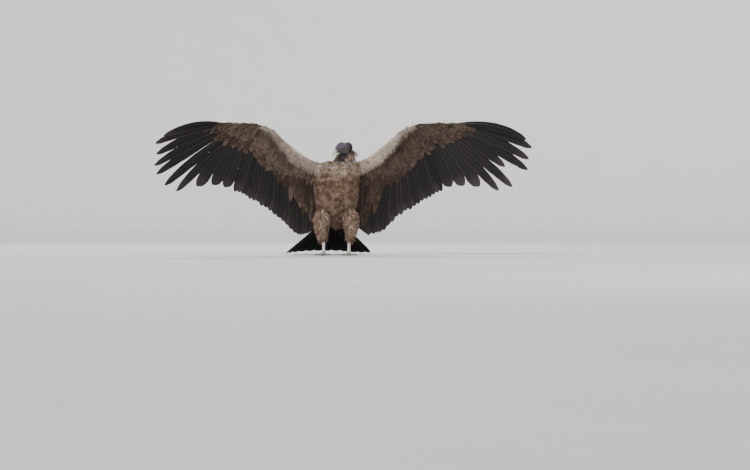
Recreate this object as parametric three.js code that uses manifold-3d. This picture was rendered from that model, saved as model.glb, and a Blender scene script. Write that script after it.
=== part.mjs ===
// A young Andean condor standing upright with both wings spread to the sun, as a still, life-size model.
// Millimetres, +Z up. The bird faces -Y, so its left wing is at +X and its tail lies towards +Y.
// Everything is placed from the point on the floor midway between the feet. The finished group is then
// shifted level, so that the part's origin is the middle of its outline on the floor.
import * as THREE from "three";
import { mergeVertices } from "three/addons/utils/BufferGeometryUtils.js";
import Module from "manifold-3d";

const wasm = await Module();
wasm.setup();

// Gap that neighbouring pieces keep
const GAP = 0.3;

// Colours
const BROWN = 0x8a6f5e;
const DARK_BROWN = 0x3a302d;
const BLACK_BROWN = 0x1d1a1b;
const BUFF = 0xb59a80;
const SKIN = 0x3c3a40;
const COMB_SKIN = 0x4c4856;
const HORN = 0xd9d6c8;
const LEG = 0xd8d4c8;
const CLAW = 0x2b2724;
const EYE = 0x2a1710;

// Torso: level rings from the vent to the base of the neck
// [height, middle x, middle y, half width, depth to the front, depth to the back]
const TORSO = [
  [202, 0, 82, 34, 30, 26],
  [236, 0, 82, 84, 70, 54],
  [292, 0, 74, 126, 106, 84],
  [362, 0, 54, 152, 132, 102],
  [440, 0, 36, 164, 148, 112],
  [520, 0, 22, 166, 146, 112],
  [582, 4, 18, 164, 128, 106],
  [618, 8, 14, 157, 108, 94],
  [640, 14, 10, 138, 86, 78],
  [656, 30, 6, 96, 62, 60],
];
const TORSO_SIDES = 28;

// Neck: from inside the torso's top to the back of the skull
const NECK_BASE = [34, 8, 640];
const NECK_BEND = [62, 2, 694];
const NECK_TOP = [94, 4, 740];
const NECK_RADII = [68, 61, 45];
const RUFF = { tiers: 3, each: 9, low: 0.12, high: 0.82, length: 62, halfWidth: 17, flare: 20, nape: 8 };

// Head, in its own frame: x' runs forward along the bill, y' to the bird's left, z' up
const HEAD_AT = [52, -48, 744];
const HEAD_YAW = 60;
const HEAD_PITCH = 16;
// [forward, half width, top, bottom]
const SKULL = [
  [-65, 10, 13, -8],
  [-58, 22, 27, -22],
  [-42, 30, 35, -34],
  [-20, 33.5, 38, -41],
  [0, 33, 37, -43],
  [16, 29, 34, -41],
  [30, 23, 28, -35],
  [42, 18, 23.5, -27],
  [53, 15, 19.5, -20],
];
const EYE_AT = [13, 24.8, 10];
const EYE_RADIUS = 9;
const LID = { radius: 8.4, tube: 2.3, stand: 4.4 };
const EAR = { at: [-24, 35, -5], size: [6.5, 5, 8] };
const NOSTRIL = { at: [43, 0, 6], size: [6.5, 40, 3.2] };
const COMB = { from: -12, to: 64, rise: 22, half: 7.5 };
const MOUTH_Z = -10;
// [forward, height of the middle, half width, top, bottom, lean]
const BILL_UPPER = [
  [53.3, 0, 14, 18, -9.5, 0],
  [65, 0, 13, 18, -10.5, 0],
  [77, -1, 11, 17, -13, 10],
  [87, -5, 8.6, 14, -15, 34],
  [94.5, -15, 6, 11, -12, 64],
  [97.5, -29, 3, 6, -6.5, 84],
];
// [forward, half width, top, bottom]
const BILL_LOWER = [
  [30, 16, -10.6, -27],
  [48, 13.5, -10.6, -24],
  [65, 11, -11.2, -22],
  [76, 7.5, -14.4, -21.5],
  [83, 3.6, -16.6, -20.6],
];

// Thigh and its feathering, shank and foot of the left leg; the right leg mirrors them
// [height, middle x, middle y, half width, half depth]
const THIGH = [
  [336, 84, 24, 46, 62],
  [276, 98, 18, 58, 72],
  [215, 103, 14, 56, 66],
  [165, 101, 14, 46, 52],
  [130, 96, 18, 34, 38],
  [108, 92, 21, 24, 26],
];
const HOCK = [90, 24, 120];
const ANKLE = [88, 2, 22];
const SHANK_RADIUS = 10.5;
const TOES = [
  { name: "middle", turn: 4, length: 104, radius: 8.4, joints: 3 },
  { name: "inner", turn: -34, length: 70, radius: 7.2, joints: 2 },
  { name: "outer", turn: 38, length: 76, radius: 7.2, joints: 3 },
  { name: "hind", turn: 172, length: 38, radius: 6.6, joints: 1 },
];
const CLAW_LENGTH = 24;

// Wing: the leading edge and the line of the arm bones, from the shoulder to the end of the hand.
// Knots: shoulder, middle of the upper arm, elbow, middle of the forearm, wrist, middle and end of the hand
const LEADING_EDGE = [
  [110, 42, 642], [226, 40, 692], [366, 26, 800], [468, 10, 882],
  [572, 0, 914], [692, -4, 928], [818, -8, 930],
];
const ARM_BONES = [
  [130, 66, 566], [258, 78, 622], [388, 74, 676], [486, 42, 786],
  [576, 8, 890], [690, 0, 904], [806, -6, 914],
];
const ARM_HALF_THICKNESS = [40, 27, 21, 18, 14, 11, 7];
const ARM_TRAIL = [34, 34, 30, 28, 24, 20, 14];
// Trailing edge of the inner wing, from the innermost feather's tip to the tip next to the hand
const TRAILING_EDGE = [
  [156, 138, 200], [222, 144, 150], [296, 145, 156], [408, 136, 250],
  [532, 112, 338], [640, 84, 402], [742, 58, 452],
];
const INNER_FEATHERS = 16;
// Shares of the arm bones' curve between which the inner and the hand's feathers have their roots
const INNER_ROOTS = [0.05, 0.652];
const HAND_ROOTS = [0.692, 0.985];
const WRIST_KNOT = 4;
const WRIST_SHARE = WRIST_KNOT / (ARM_BONES.length - 1);
const PRIMARIES = 10;
const BROAD_PRIMARIES = 3;
// Per primary, from the wrist outwards: the angle below level, and the length
const PRIMARY_FAN = [62.5, 55.5, 48.5, 43.2, 37.6, 30.8, 26.8, 21.6, 15, 11];
const PRIMARY_LENGTH = [470, 502, 558, 660, 688, 690, 680, 648, 622, 556];
const WINGS = [
  { name: "left", mirror: 1, reach: 1, fold: 0, forward: 10, regrowing: 6, regrown: 0.82 },
  { name: "right", mirror: -1, reach: 0.965, fold: 16, forward: 40, regrowing: 0, regrown: 1 },
];
const LOUVRE = 0.085;

// Tail
const TAIL_FEATHERS = 12;
const TAIL_ROOT = [-38, 160, 250];
const TAIL_ROOT_SPREAD = 40;
const TAIL_FAN = [-80, 52];
const TAIL_LENGTH = 376;
const TAIL_TIP_HEIGHT = 9;
const TAIL_LAYER = 16;
const TAIL_BOW = 16;
const TAIL_COVERTS = 6;
const TAIL_COVERT_LENGTH = 132;
// [middle x, y, z, half width, half depth square to the run]
const TAIL_BASE = [
  [-8, 106, 302, 84, 30],
  [-22, 140, 276, 86, 24],
  [-34, 168, 252, 76, 16],
  [-40, 192, 230, 58, 8],
];

// Vectors and small helpers
const V = (x, y, z) => new THREE.Vector3(x, y, z);
const at = ([x, y, z]) => V(x, y, z);
const radians = THREE.MathUtils.degToRad;
const mix = THREE.MathUtils.lerp;
const smooth = (list) => new THREE.CatmullRomCurve3(list.map(at), false, "centripetal");

// A seeded draw from -1 to 1, so that like feathers differ a little
function drawer(seed) {
  let state = seed;
  return () => {
    state = (state * 16807) % 2147483647;
    return (state / 2147483647) * 2 - 1;
  };
}

// A closed three.js geometry as a solid, turned the right way out
function solid(geometry) {
  const bare = geometry.index ? geometry.toNonIndexed() : geometry.clone();
  for (const name of Object.keys(bare.attributes)) {
    if (name !== "position") bare.deleteAttribute(name);
  }
  const merged = mergeVertices(bare, 1e-4);
  const make = (triVerts) =>
    new wasm.Manifold(
      new wasm.Mesh({ numProp: 3, vertProperties: merged.attributes.position.array, triVerts }),
    );
  const faces = new Uint32Array(merged.index.array);
  const made = make(faces);
  return made.volume() > 0 ? made : make(faces.reverse());
}

// The largest closed surface of a solid
function largest(made) {
  const bodies = made.decompose();
  return bodies.reduce((a, b) => (b.volume() > a.volume() ? b : a));
}

const fuse = (solids) => wasm.Manifold.union(solids);

// A geometry through rings of equally many points, closed at both ends
function loft(rings) {
  const sides = rings[0].length;
  const points = rings.flat();
  const index = [];
  for (let k = 0; k + 1 < rings.length; k++) {
    for (let j = 0; j < sides; j++) {
      const a = k * sides + j;
      const b = k * sides + ((j + 1) % sides);
      index.push(a, b, b + sides, a, b + sides, a + sides);
    }
  }
  const cap = (start, flip) => {
    const middle = points.length;
    points.push(
      rings[start / sides].reduce((sum, p) => sum.add(p), V(0, 0, 0)).divideScalar(sides),
    );
    for (let j = 0; j < sides; j++) {
      const a = start + j;
      const b = start + ((j + 1) % sides);
      index.push(...(flip ? [middle, b, a] : [middle, a, b]));
    }
  };
  cap(0, true);
  cap((rings.length - 1) * sides, false);
  return new THREE.BufferGeometry().setFromPoints(points).setIndex(index);
}

// A round or oval ring about a middle, on two half axes
function ring(middle, across, up, sides) {
  return Array.from({ length: sides }, (_, j) => {
    const turn = (2 * Math.PI * j) / sides;
    return middle.clone().addScaledVector(across, Math.cos(turn)).addScaledVector(up, Math.sin(turn));
  });
}

// A tube along a list of points, with a radius at each
function tube(points, radii, sides) {
  const rings = points.map((p, k) => {
    const before = points[Math.max(0, k - 1)];
    const after = points[Math.min(points.length - 1, k + 1)];
    const along = after.clone().sub(before).normalize();
    const across = V(0, 0, 1).cross(along);
    if (across.length() < 0.2) across.set(1, 0, 0);
    across.normalize();
    const up = along.clone().cross(across);
    return ring(p, across.multiplyScalar(radii[k]), up.multiplyScalar(radii[k]), sides);
  });
  return loft(rings);
}

// The directions of a feather: along it, out towards its outer edge, and out of the face it shows
function featherFrame(root, tip, outward, facing) {
  const along = tip.clone().sub(root).normalize();
  const face = outward.clone().cross(along).normalize();
  if (face.dot(facing) < 0) face.negate();
  const side = face.clone().cross(along).normalize();
  if (side.dot(outward) < 0) side.negate();
  return { along, side, face };
}

// A feather as one thin closed vane. stations: [share of the length, outer half width, inner half width].
// A ridged vane has a shaft down its middle, and a flat one only two edges.
function vane(root, tip, frame, shape) {
  const { stations, bow = 0, droop = 0, tilt = 0, shaft = 0, edge = 0.45, grow = 0 } = shape;
  const { along, side, face } = frame;
  const length = tip.distanceTo(root);
  const cross = side.clone().multiplyScalar(Math.cos(tilt)).addScaledVector(face, -Math.sin(tilt));
  const out = face.clone().multiplyScalar(Math.cos(tilt)).addScaledVector(side, Math.sin(tilt));
  const half = edge + grow;
  const points = [];
  for (const [share, outer, inner] of stations) {
    const p = root
      .clone()
      .addScaledVector(along, length * share)
      .addScaledVector(side, bow * 4 * share * (1 - share))
      .addScaledVector(face, droop * share * share);
    const o = p.clone().addScaledVector(cross, outer + grow);
    const i = p.clone().addScaledVector(cross, -inner - grow);
    const ridge = half + shaft * (1 - 0.7 * share);
    const row = shaft ? [o, p, i] : [o, i];
    const rise = shaft ? [half, ridge, half] : [half, half];
    row.forEach((q, n) => points.push(q.clone().addScaledVector(out, rise[n])));
    row.forEach((q, n) => points.push(q.clone().addScaledVector(out, -rise[n])));
  }
  const wide = shaft ? 3 : 2;
  const per = wide * 2;
  const index = [];
  const quad = (a, b, c, d) => index.push(a, b, c, a, c, d);
  for (let k = 0; k + 1 < stations.length; k++) {
    const s = k * per;
    const e = s + per;
    for (let n = 0; n + 1 < wide; n++) {
      quad(s + n, s + n + 1, e + n + 1, e + n);
      const w = wide;
      index.push(s + w + n, e + w + n + 1, s + w + n + 1, s + w + n, e + w + n, e + w + n + 1);
    }
    quad(s + wide - 1, s + per - 1, e + per - 1, e + wide - 1);
    quad(s + wide, s, e, e + wide);
  }
  const end = (stations.length - 1) * per;
  for (let n = 0; n + 1 < wide; n++) {
    index.push(n, n + wide, n + wide + 1, n, n + wide + 1, n + 1);
    const a = end + n;
    index.push(a, a + wide + 1, a + wide, a, a + 1, a + wide + 1);
  }
  return solid(new THREE.BufferGeometry().setFromPoints(points).setIndex(index));
}

// Torso, grown outwards by a margin when it is used to cut its neighbours clear
function torsoSolid(margin) {
  const rings = TORSO.map(([z, x, y, half, front, back], k) => {
    const end = k === 0 ? -margin : k === TORSO.length - 1 ? margin : 0;
    return Array.from({ length: TORSO_SIDES }, (_, j) => {
      const turn = (2 * Math.PI * j) / TORSO_SIDES;
      const s = Math.sin(turn);
      const depth = s < 0 ? front : back;
      return V(x + (half + margin) * Math.cos(turn), y + (depth + margin) * s, z + end);
    });
  });
  return solid(loft(rings));
}

// The wing's posed curves and the places of its feathers
function poseOf(wing) {
  const wrist = at(ARM_BONES[WRIST_KNOT]);
  const place = (p, knot) => {
    const q = at(p);
    if (knot > WRIST_KNOT) {
      q.sub(wrist).applyAxisAngle(V(0, 0, 1), radians(-wing.fold)).add(wrist);
    }
    q.x *= wing.reach * wing.mirror;
    return q.toArray();
  };
  const last = ARM_BONES.length - 1;
  const lead = smooth(LEADING_EDGE.map(place));
  const bones = smooth(ARM_BONES.map(place));
  const trail = smooth(TRAILING_EDGE.map((p) => place(p, 0)));
  const feathers = [];
  for (let k = 0; k < INNER_FEATHERS; k++) {
    const u = k / (INNER_FEATHERS - 1);
    const root = bones.getPoint(mix(...INNER_ROOTS, u));
    feathers.push({ root, tip: trail.getPoint(u), part: "arm", bow: mix(4, 14, u) });
  }
  for (let k = 0; k < PRIMARIES; k++) {
    const u = k / (PRIMARIES - 1);
    const root = bones.getPoint(mix(...HAND_ROOTS, u));
    const below = radians(PRIMARY_FAN[k]);
    const ahead = radians(wing.forward * Math.pow(u, 1.3));
    const long = PRIMARY_LENGTH[k] * (k + 1 === wing.regrowing ? wing.regrown : 1);
    const along = V(
      wing.mirror * Math.cos(below) * Math.cos(ahead), -Math.sin(ahead), -Math.sin(below) * Math.cos(ahead),
    );
    const tip = root.clone().addScaledVector(along, long);
    feathers.push({ root, tip, part: "hand", finger: k >= BROAD_PRIMARIES, bow: mix(14, 50, u) });
  }
  feathers.forEach((f, k) => {
    const a = feathers[Math.max(0, k - 1)];
    const b = feathers[Math.min(feathers.length - 1, k + 1)];
    f.outward = b.root.clone().add(b.tip).sub(a.root).sub(a.tip);
    f.frame = featherFrame(f.root, f.tip, f.outward, V(0, -1, 0));
  });
  return { lead, bones, last, feathers };
}

// One length of the arm: an oval section, blunt in front and thin behind, between two shares of the curves
function armSolid(pose, from, to, steps, sides, margin = 0) {
  const rings = Array.from({ length: steps + 1 }, (_, k) => {
    const t = mix(from, to, k / steps);
    const front = pose.lead.getPoint(t);
    const bone = pose.bones.getPoint(t);
    const along = pose.bones.getTangent(t);
    const knot = t * pose.last;
    const low = Math.min(pose.last - 1, Math.floor(knot));
    const thick = mix(ARM_HALF_THICKNESS[low], ARM_HALF_THICKNESS[low + 1], knot - low);
    const chord = bone.clone().sub(front).normalize();
    const back = bone.clone().addScaledVector(chord, mix(ARM_TRAIL[low], ARM_TRAIL[low + 1], knot - low));
    const face = along.clone().cross(chord).normalize();
    if (face.y > 0) face.negate();
    const middle = front.clone().add(back).multiplyScalar(0.5);
    const reach = front.clone().sub(back).multiplyScalar(0.5);
    return Array.from({ length: sides }, (_, j) => {
      const turn = (2 * Math.PI * j) / sides;
      const taper = 0.72 + 0.28 * Math.cos(turn);
      return middle
        .clone()
        .addScaledVector(reach, Math.cos(turn) * (1 + margin / reach.length()))
        .addScaledVector(face, (thick + 2 * margin) * taper * Math.sin(turn));
    });
  });
  return solid(loft(rings));
}

// Feather outlines: [share of the length, half width of the outer vane, half width of the inner vane]
const FINGER_SHAPE = [[0, 3, 3], [0.3, 16, 29], [0.58, 23, 46], [0.78, 22, 40], [0.93, 16, 27], [1, 4, 6]];
const BROAD_SHAPE = [[0, 3, 3], [0.28, 18, 30], [0.84, 33, 56], [1, 11, 15]];
const SECONDARY_SHAPE = [[0, 3, 3], [0.25, 16, 22], [0.82, 23, 38], [1, 8, 10]];
const COVERT_SHAPE = [[0, 11, 11], [0.6, 24, 28], [1, 9, 11]];
const RUFF_SHAPE = [[0, 0.5, 0.5], [0.5, 1, 1], [1, 0.2, 0.2]];
const TAIL_SHAPE = [[0, 3, 3], [0.24, 15, 17], [0.88, 35, 38], [1, 22, 24]];
const TAIL_COVERT_SHAPE = [[0, 10, 10], [0.6, 26, 26], [1, 9, 9]];

// Rows of coverts over the roots of the flight feathers.
// side: 1 on the face that shows in front, -1 behind. ahead: how far the row's roots lie ahead of the flight
// feathers' roots. layer: how far it stands off them. reach: how far along them it ends. count: how many.
const COVERT_ROWS = [
  { side: 1, ahead: 0, layer: 5.8, wide: 1, reach: { arm: 150, hand: 190 }, count: { arm: 10, hand: 6 } },
  { side: 1, ahead: 24, layer: 11.2, wide: 1.2, reach: { arm: 84, hand: 104 }, count: { arm: 7, hand: 4 } },
  { side: -1, ahead: 0, layer: 5.8, wide: 1, reach: { arm: 156, hand: 200 }, count: { arm: 9, hand: 5 } },
  { side: -1, ahead: 24, layer: 11.2, wide: 1.25, reach: { arm: 88, hand: 110 }, count: { arm: 6, hand: 3 } },
];

// The root, tip and directions between two neighbouring flight feathers
function between(feathers, place) {
  const low = Math.min(feathers.length - 2, Math.floor(place));
  const share = place - low;
  const root = feathers[low].root.clone().lerp(feathers[low + 1].root, share);
  const tip = feathers[low].tip.clone().lerp(feathers[low + 1].tip, share);
  const outward = feathers[low].outward.clone().lerp(feathers[low + 1].outward, share);
  return { root, tip, frame: featherFrame(root, tip, outward, V(0, -1, 0)) };
}

// One length of a wing with all that grows from it
function wingSection(wing, pose, part) {
  const [from, to, steps] = { arm: [0, WRIST_SHARE - 0.0008, 7], hand: [WRIST_SHARE + 0.0008, 1, 4] }[part];
  const pieces = [armSolid(pose, from, to, steps, 12)];
  const draw = drawer(part.length * 97 + (wing.mirror + 2));
  const own = pose.feathers.filter((f) => f.part === part);
  for (const f of own) {
    const tip = f.tip.clone().addScaledVector(f.frame.along, 6 * draw());
    const stations = f.finger ? FINGER_SHAPE : part === "hand" ? BROAD_SHAPE : SECONDARY_SHAPE;
    const shaft = f.finger ? 2 : 0;
    pieces.push(vane(f.root, tip, f.frame, { stations, bow: f.bow, droop: 8, tilt: LOUVRE, shaft }));
  }
  for (const row of COVERT_ROWS) {
    const count = row.count[part];
    for (let k = 0; k < count; k++) {
      const { root, tip, frame } = between(own, ((k + 0.5) / count) * (own.length - 1));
      const long = row.reach[part] * (1 + 0.06 * draw());
      root.addScaledVector(frame.face, row.side * row.layer);
      const end = root.clone().addScaledVector(frame.along, long);
      root.addScaledVector(frame.along, -row.ahead);
      const wide = row.wide * (part === "hand" ? 0.8 : 1);
      const stations = COVERT_SHAPE.map(([share, o, i]) => [share, o * wide, i * wide]);
      pieces.push(vane(root, end, frame, { stations, tilt: LOUVRE, edge: 0.5 }));
    }
  }
  return fuse(pieces);
}

// Head frame
function headMatrix() {
  const yaw = radians(HEAD_YAW);
  const pitch = radians(HEAD_PITCH);
  const forward = V(-Math.sin(yaw) * Math.cos(pitch), -Math.cos(yaw) * Math.cos(pitch), -Math.sin(pitch));
  const up = V(-Math.sin(yaw) * Math.sin(pitch), -Math.cos(yaw) * Math.sin(pitch), Math.cos(pitch));
  const left = up.clone().cross(forward);
  return new THREE.Matrix4().makeBasis(forward, left, up).setPosition(at(HEAD_AT));
}
const HEAD_FRAME = headMatrix();
const headGeometry = (geometry) => geometry.applyMatrix4(HEAD_FRAME);

function ovalRings(list, sides) {
  return list.map(([x, half, top, bottom]) =>
    ring(V(x, 0, (top + bottom) / 2), V(0, half, 0), V(0, 0, (top - bottom) / 2), sides),
  );
}

// A form of the head grown by the gap on all sides, to cut its neighbours clear
function grown(list, sides) {
  const wider = list.map(([x, half, top, bottom], k) => [
    x + (k === 0 ? -GAP : GAP), half + GAP, top + GAP, bottom - GAP,
  ]);
  return solid(headGeometry(loft(ovalRings(wider, sides))));
}

function eyeSolid(side, margin) {
  const geometry = new THREE.SphereGeometry(EYE_RADIUS + margin, 12, 8);
  geometry.translate(EYE_AT[0], side * EYE_AT[1], EYE_AT[2]);
  return solid(headGeometry(geometry));
}

function headSolid() {
  const skull = solid(headGeometry(loft(ovalRings(SKULL, 20))));
  const lids = [1, -1].map((side) => {
    const lid = new THREE.TorusGeometry(LID.radius, LID.tube, 5, 12);
    lid.scale(1.1, 0.86, 1);
    lid.rotateX(Math.PI / 2);
    lid.rotateZ(-side * 0.28);
    lid.translate(EYE_AT[0], side * (EYE_AT[1] + LID.stand), EYE_AT[2]);
    return solid(headGeometry(lid));
  });
  const cuts = [1, -1].flatMap((side) => {
    const ear = new THREE.SphereGeometry(1, 8, 6);
    ear.scale(...EAR.size);
    ear.translate(EAR.at[0], side * EAR.at[1], EAR.at[2]);
    return [solid(headGeometry(ear)), eyeSolid(side, GAP)];
  });
  const slot = new THREE.CylinderGeometry(1, 1, NOSTRIL.size[1], 12);
  slot.scale(NOSTRIL.size[0], 1, NOSTRIL.size[2]);
  slot.translate(...NOSTRIL.at);
  cuts.push(solid(headGeometry(slot)));
  const mouth = new THREE.BoxGeometry(70, 60, 1.2);
  mouth.translate(24 + 35, 0, MOUTH_Z);
  cuts.push(solid(headGeometry(mouth)));
  return cuts.reduce((made, cut) => made.subtract(cut), fuse([skull, ...lids]));
}

function combSolid(margin) {
  const steps = 8;
  const rings = Array.from({ length: steps + 1 }, (_, k) => {
    const u = k / steps;
    const x = mix(COMB.from, COMB.to, u);
    const rise = COMB.rise * Math.pow(Math.sin(Math.PI * mix(0.1, 0.93, u)), 0.8);
    const floor = mix(28, 12, u);
    const half = COMB.half * Math.sin(Math.PI * mix(0.2, 0.85, u));
    const base = mix(36, 19, Math.pow(u, 1.2));
    const middle = (floor + base + rise) / 2;
    return ring(V(x, 0, middle), V(0, half + margin, 0), V(0, 0, (base + rise - floor) / 2 + margin), 12);
  });
  return solid(headGeometry(loft(rings)));
}

function upperBillSolid(margin) {
  const rings = BILL_UPPER.map(([x, z, half, top, bottom, lean]) => {
    const up = V(Math.sin(radians(lean)), 0, Math.cos(radians(lean)));
    const middle = V(x, 0, z).addScaledVector(up, (top + bottom) / 2);
    return ring(middle, V(0, half + margin, 0), up.multiplyScalar((top - bottom) / 2 + margin), 14);
  });
  return solid(headGeometry(loft(rings)));
}

function lowerBillSolid() {
  return solid(headGeometry(loft(ovalRings(BILL_LOWER, 12))));
}

// Neck with its ruff of downy feathers in tiers
function neckPath() {
  return smooth([NECK_BASE, NECK_BEND, NECK_TOP]);
}

function neckSolid() {
  const path = neckPath();
  const steps = 6;
  const points = Array.from({ length: steps + 1 }, (_, k) => path.getPoint(k / steps));
  const [low, bend, top] = NECK_RADII;
  const radii = points.map((_, k) => {
    const place = (2 * k) / steps;
    return place < 1 ? mix(low, bend, place) : mix(bend, top, place - 1);
  });
  const pieces = [solid(tube(points, radii, 16))];
  const draw = drawer(41);
  for (let tier = 0; tier < RUFF.tiers; tier++) {
    const t = mix(RUFF.low, RUFF.high, tier / (RUFF.tiers - 1));
    const middle = path.getPoint(t);
    const radius = mix(low, top, t);
    const wide = RUFF.halfWidth * mix(1.05, 0.8, t);
    const stations = RUFF_SHAPE.map(([share, o, i]) => [share, o * wide, i * wide]);
    for (let k = 0; k < RUFF.each; k++) {
      const turn = (2 * Math.PI * (k + 0.5 * tier + 0.12 * draw())) / RUFF.each;
      const out = V(Math.cos(turn), Math.sin(turn), 0);
      const root = middle.clone().addScaledVector(out, radius - 12);
      const length = RUFF.length * (1 + 0.12 * draw());
      const flare = RUFF.flare * (1 + 0.3 * draw()) + RUFF.nape * t * Math.max(0, out.x);
      const tip = root.clone().addScaledVector(out, flare + 14).add(V(0, 0, -length));
      const frame = featherFrame(root, tip, V(-out.y, out.x, 0), out);
      pieces.push(vane(root, tip, frame, { stations, edge: 0.9, droop: -6 }));
    }
  }
  return fuse(pieces);
}

// Legs
function thighSolid(side) {
  const rings = THIGH.map(([z, x, y, half, depth]) =>
    ring(V(side * x, y, z), V(half, 0, 0), V(0, depth, 0), 18),
  );
  return solid(loft(rings));
}

function shankSolid(side, margin) {
  const top = V(side * HOCK[0], HOCK[1], HOCK[2]);
  const low = V(side * ANKLE[0], ANKLE[1], ANKLE[2]);
  const shares = [0, 0.12, 0.3, 0.75, 1];
  const swell = [1.16, 1.2, 0.96, 0.94, 1.1];
  const points = shares.map((s) => top.clone().lerp(low, s));
  return solid(tube(points, swell.map((w) => SHANK_RADIUS * w + margin), 14));
}

// A toe's direction and its line from the ankle to where its claw begins
function toeLine(side, toe) {
  const turn = radians(toe.turn);
  const along = V(side * Math.sin(turn), -Math.cos(turn), 0);
  const start = V(side * ANKLE[0], ANKLE[1] - 2, toe.radius + 5);
  const end = start.clone().addScaledVector(along, toe.length);
  end.z = toe.radius * 0.72;
  return { along, start, end };
}

function footSolid(side) {
  const ball = new THREE.SphereGeometry(1, 12, 6);
  ball.scale(15, 16, 12.5);
  ball.translate(side * ANKLE[0], ANKLE[1] - 3, 11.5);
  const pieces = [solid(ball)];
  for (const toe of TOES) {
    const { start, end } = toeLine(side, toe);
    const steps = toe.joints + 1;
    const points = [];
    const radii = [];
    for (let k = 0; k <= steps; k++) {
      const u = k / steps;
      const p = start.clone().lerp(end, u);
      p.z = mix(start.z, toe.radius * 0.86, Math.min(1, u * 2.2));
      points.push(p);
      radii.push(toe.radius * mix(1.05, 0.8, u));
    }
    pieces.push(solid(tube(points, radii, 8)));
  }
  const floor = new THREE.BoxGeometry(600, 600, 60);
  floor.translate(0, 0, -30);
  return fuse(pieces).subtract(solid(floor));
}

function clawSolid(side, toe) {
  const { along, end } = toeLine(side, toe);
  const long = CLAW_LENGTH * (toe.name === "hind" ? 0.7 : 1);
  const points = [-0.25, 0.3, 0.7, 1].map((u) => {
    const p = end.clone().addScaledVector(along, long * u);
    p.z = toe.radius * 0.95 - 4.4 * Math.max(0, u) ** 2;
    return p;
  });
  return solid(tube(points, [4.4, 4.1, 2.8, 0.9], 5));
}

// Tail: feathers fanned from a short base and pressed down to the floor, the middle ones on top
function tailFeather(u, long, over) {
  const drop = TAIL_ROOT[2] - TAIL_TIP_HEIGHT;
  const level = Math.sqrt(TAIL_LENGTH ** 2 - drop ** 2);
  const fan = radians(mix(TAIL_FAN[0], TAIL_FAN[1], u));
  const inward = 1 - Math.abs(2 * u - 1);
  const root = at(TAIL_ROOT).add(V(mix(-1, 1, u) * TAIL_ROOT_SPREAD, -6 + 8 * inward, 0));
  const along = V(Math.sin(fan) * level, Math.cos(fan) * level, -drop).normalize();
  const outward = V(Math.cos(fan), -Math.sin(fan), 0).multiplyScalar(u < 0.5 ? -1 : 1);
  const frame = featherFrame(root, root.clone().add(along), outward, V(0, 0.5, 1).normalize());
  root.addScaledVector(frame.face, over + TAIL_LAYER * inward);
  return { root, tip: root.clone().addScaledVector(along, long), frame };
}

function tailSolid() {
  const base = TAIL_BASE.map(([x, y, z, half, up]) => ring(V(x, y, z), V(half, 0, 0), V(0, up, up), 14));
  const pieces = [solid(loft(base))];
  const draw = drawer(83);
  for (let k = 0; k < TAIL_FEATHERS; k++) {
    const u = k / (TAIL_FEATHERS - 1);
    const long = TAIL_LENGTH - 6 + 4 * draw();
    const { root, tip, frame } = tailFeather(u, long, k % 2);
    const bow = TAIL_BOW * Math.abs(2 * u - 1);
    pieces.push(vane(root, tip, frame, { stations: TAIL_SHAPE, bow, tilt: -0.02, edge: 0.6 }));
  }
  for (const over of [7, -7]) {
    for (let k = 0; k < TAIL_COVERTS; k++) {
      const long = TAIL_COVERT_LENGTH * (1 + 0.08 * draw());
      const { root, tip, frame } = tailFeather(k / (TAIL_COVERTS - 1), long, over);
      pieces.push(vane(root, tip, frame, { stations: TAIL_COVERT_SHAPE, edge: 0.6, tilt: -0.02 }));
    }
  }
  return fuse(pieces);
}

// The finished part
const group = new THREE.Group();

function addNode(name, made, colour, roughness = 0.85) {
  const mesh = largest(made).getMesh();
  const count = mesh.vertProperties.length / mesh.numProp;
  const positions = new Float32Array(count * 3);
  for (let k = 0; k < count; k++) {
    positions.set(mesh.vertProperties.subarray(k * mesh.numProp, k * mesh.numProp + 3), k * 3);
  }
  const geometry = new THREE.BufferGeometry();
  geometry.setAttribute("position", new THREE.BufferAttribute(positions, 3));
  geometry.setIndex(new THREE.BufferAttribute(mesh.triVerts, 1));
  geometry.computeVertexNormals();
  const material = new THREE.MeshStandardMaterial({ color: colour, roughness, metalness: 0 });
  const node = new THREE.Mesh(geometry, material);
  node.name = name;
  group.add(node);
}

const torso = torsoSolid(0);
const torsoClear = torsoSolid(GAP);
addNode("torso", torso, BROWN);

const head = headSolid();
const comb = combSolid(0);
const headClear = grown(SKULL, 20);
const neck = neckSolid().subtract(torsoClear).subtract(headClear);
addNode("neck", neck, BUFF);
addNode("head", head.subtract(grown(BILL_LOWER, 12)), SKIN, 0.6);
addNode("comb", comb.subtract(headClear), COMB_SKIN, 0.6);
addNode("bill_upper", upperBillSolid(0).subtract(combSolid(GAP)), HORN, 0.4);
addNode("bill_lower", lowerBillSolid().subtract(upperBillSolid(GAP)), HORN, 0.4);
for (const [name, side] of [["left", 1], ["right", -1]]) {
  addNode(`eye_${name}`, eyeSolid(side, 0), EYE, 0.1);
}

for (const wing of WINGS) {
  const pose = poseOf(wing);
  const armClear = armSolid(pose, 0.45, WRIST_SHARE - 0.0004, 3, 12, 2 * GAP);
  const handClear = armSolid(pose, WRIST_SHARE + 0.0004, 0.85, 2, 12, 2 * GAP);
  const arm = wingSection(wing, pose, "arm").subtract(torsoClear).subtract(handClear);
  addNode(`wing_${wing.name}_arm`, arm, DARK_BROWN);
  addNode(`wing_${wing.name}_hand`, wingSection(wing, pose, "hand").subtract(armClear), BLACK_BROWN);
}

addNode("tail", tailSolid().subtract(torsoClear), BLACK_BROWN);

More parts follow.
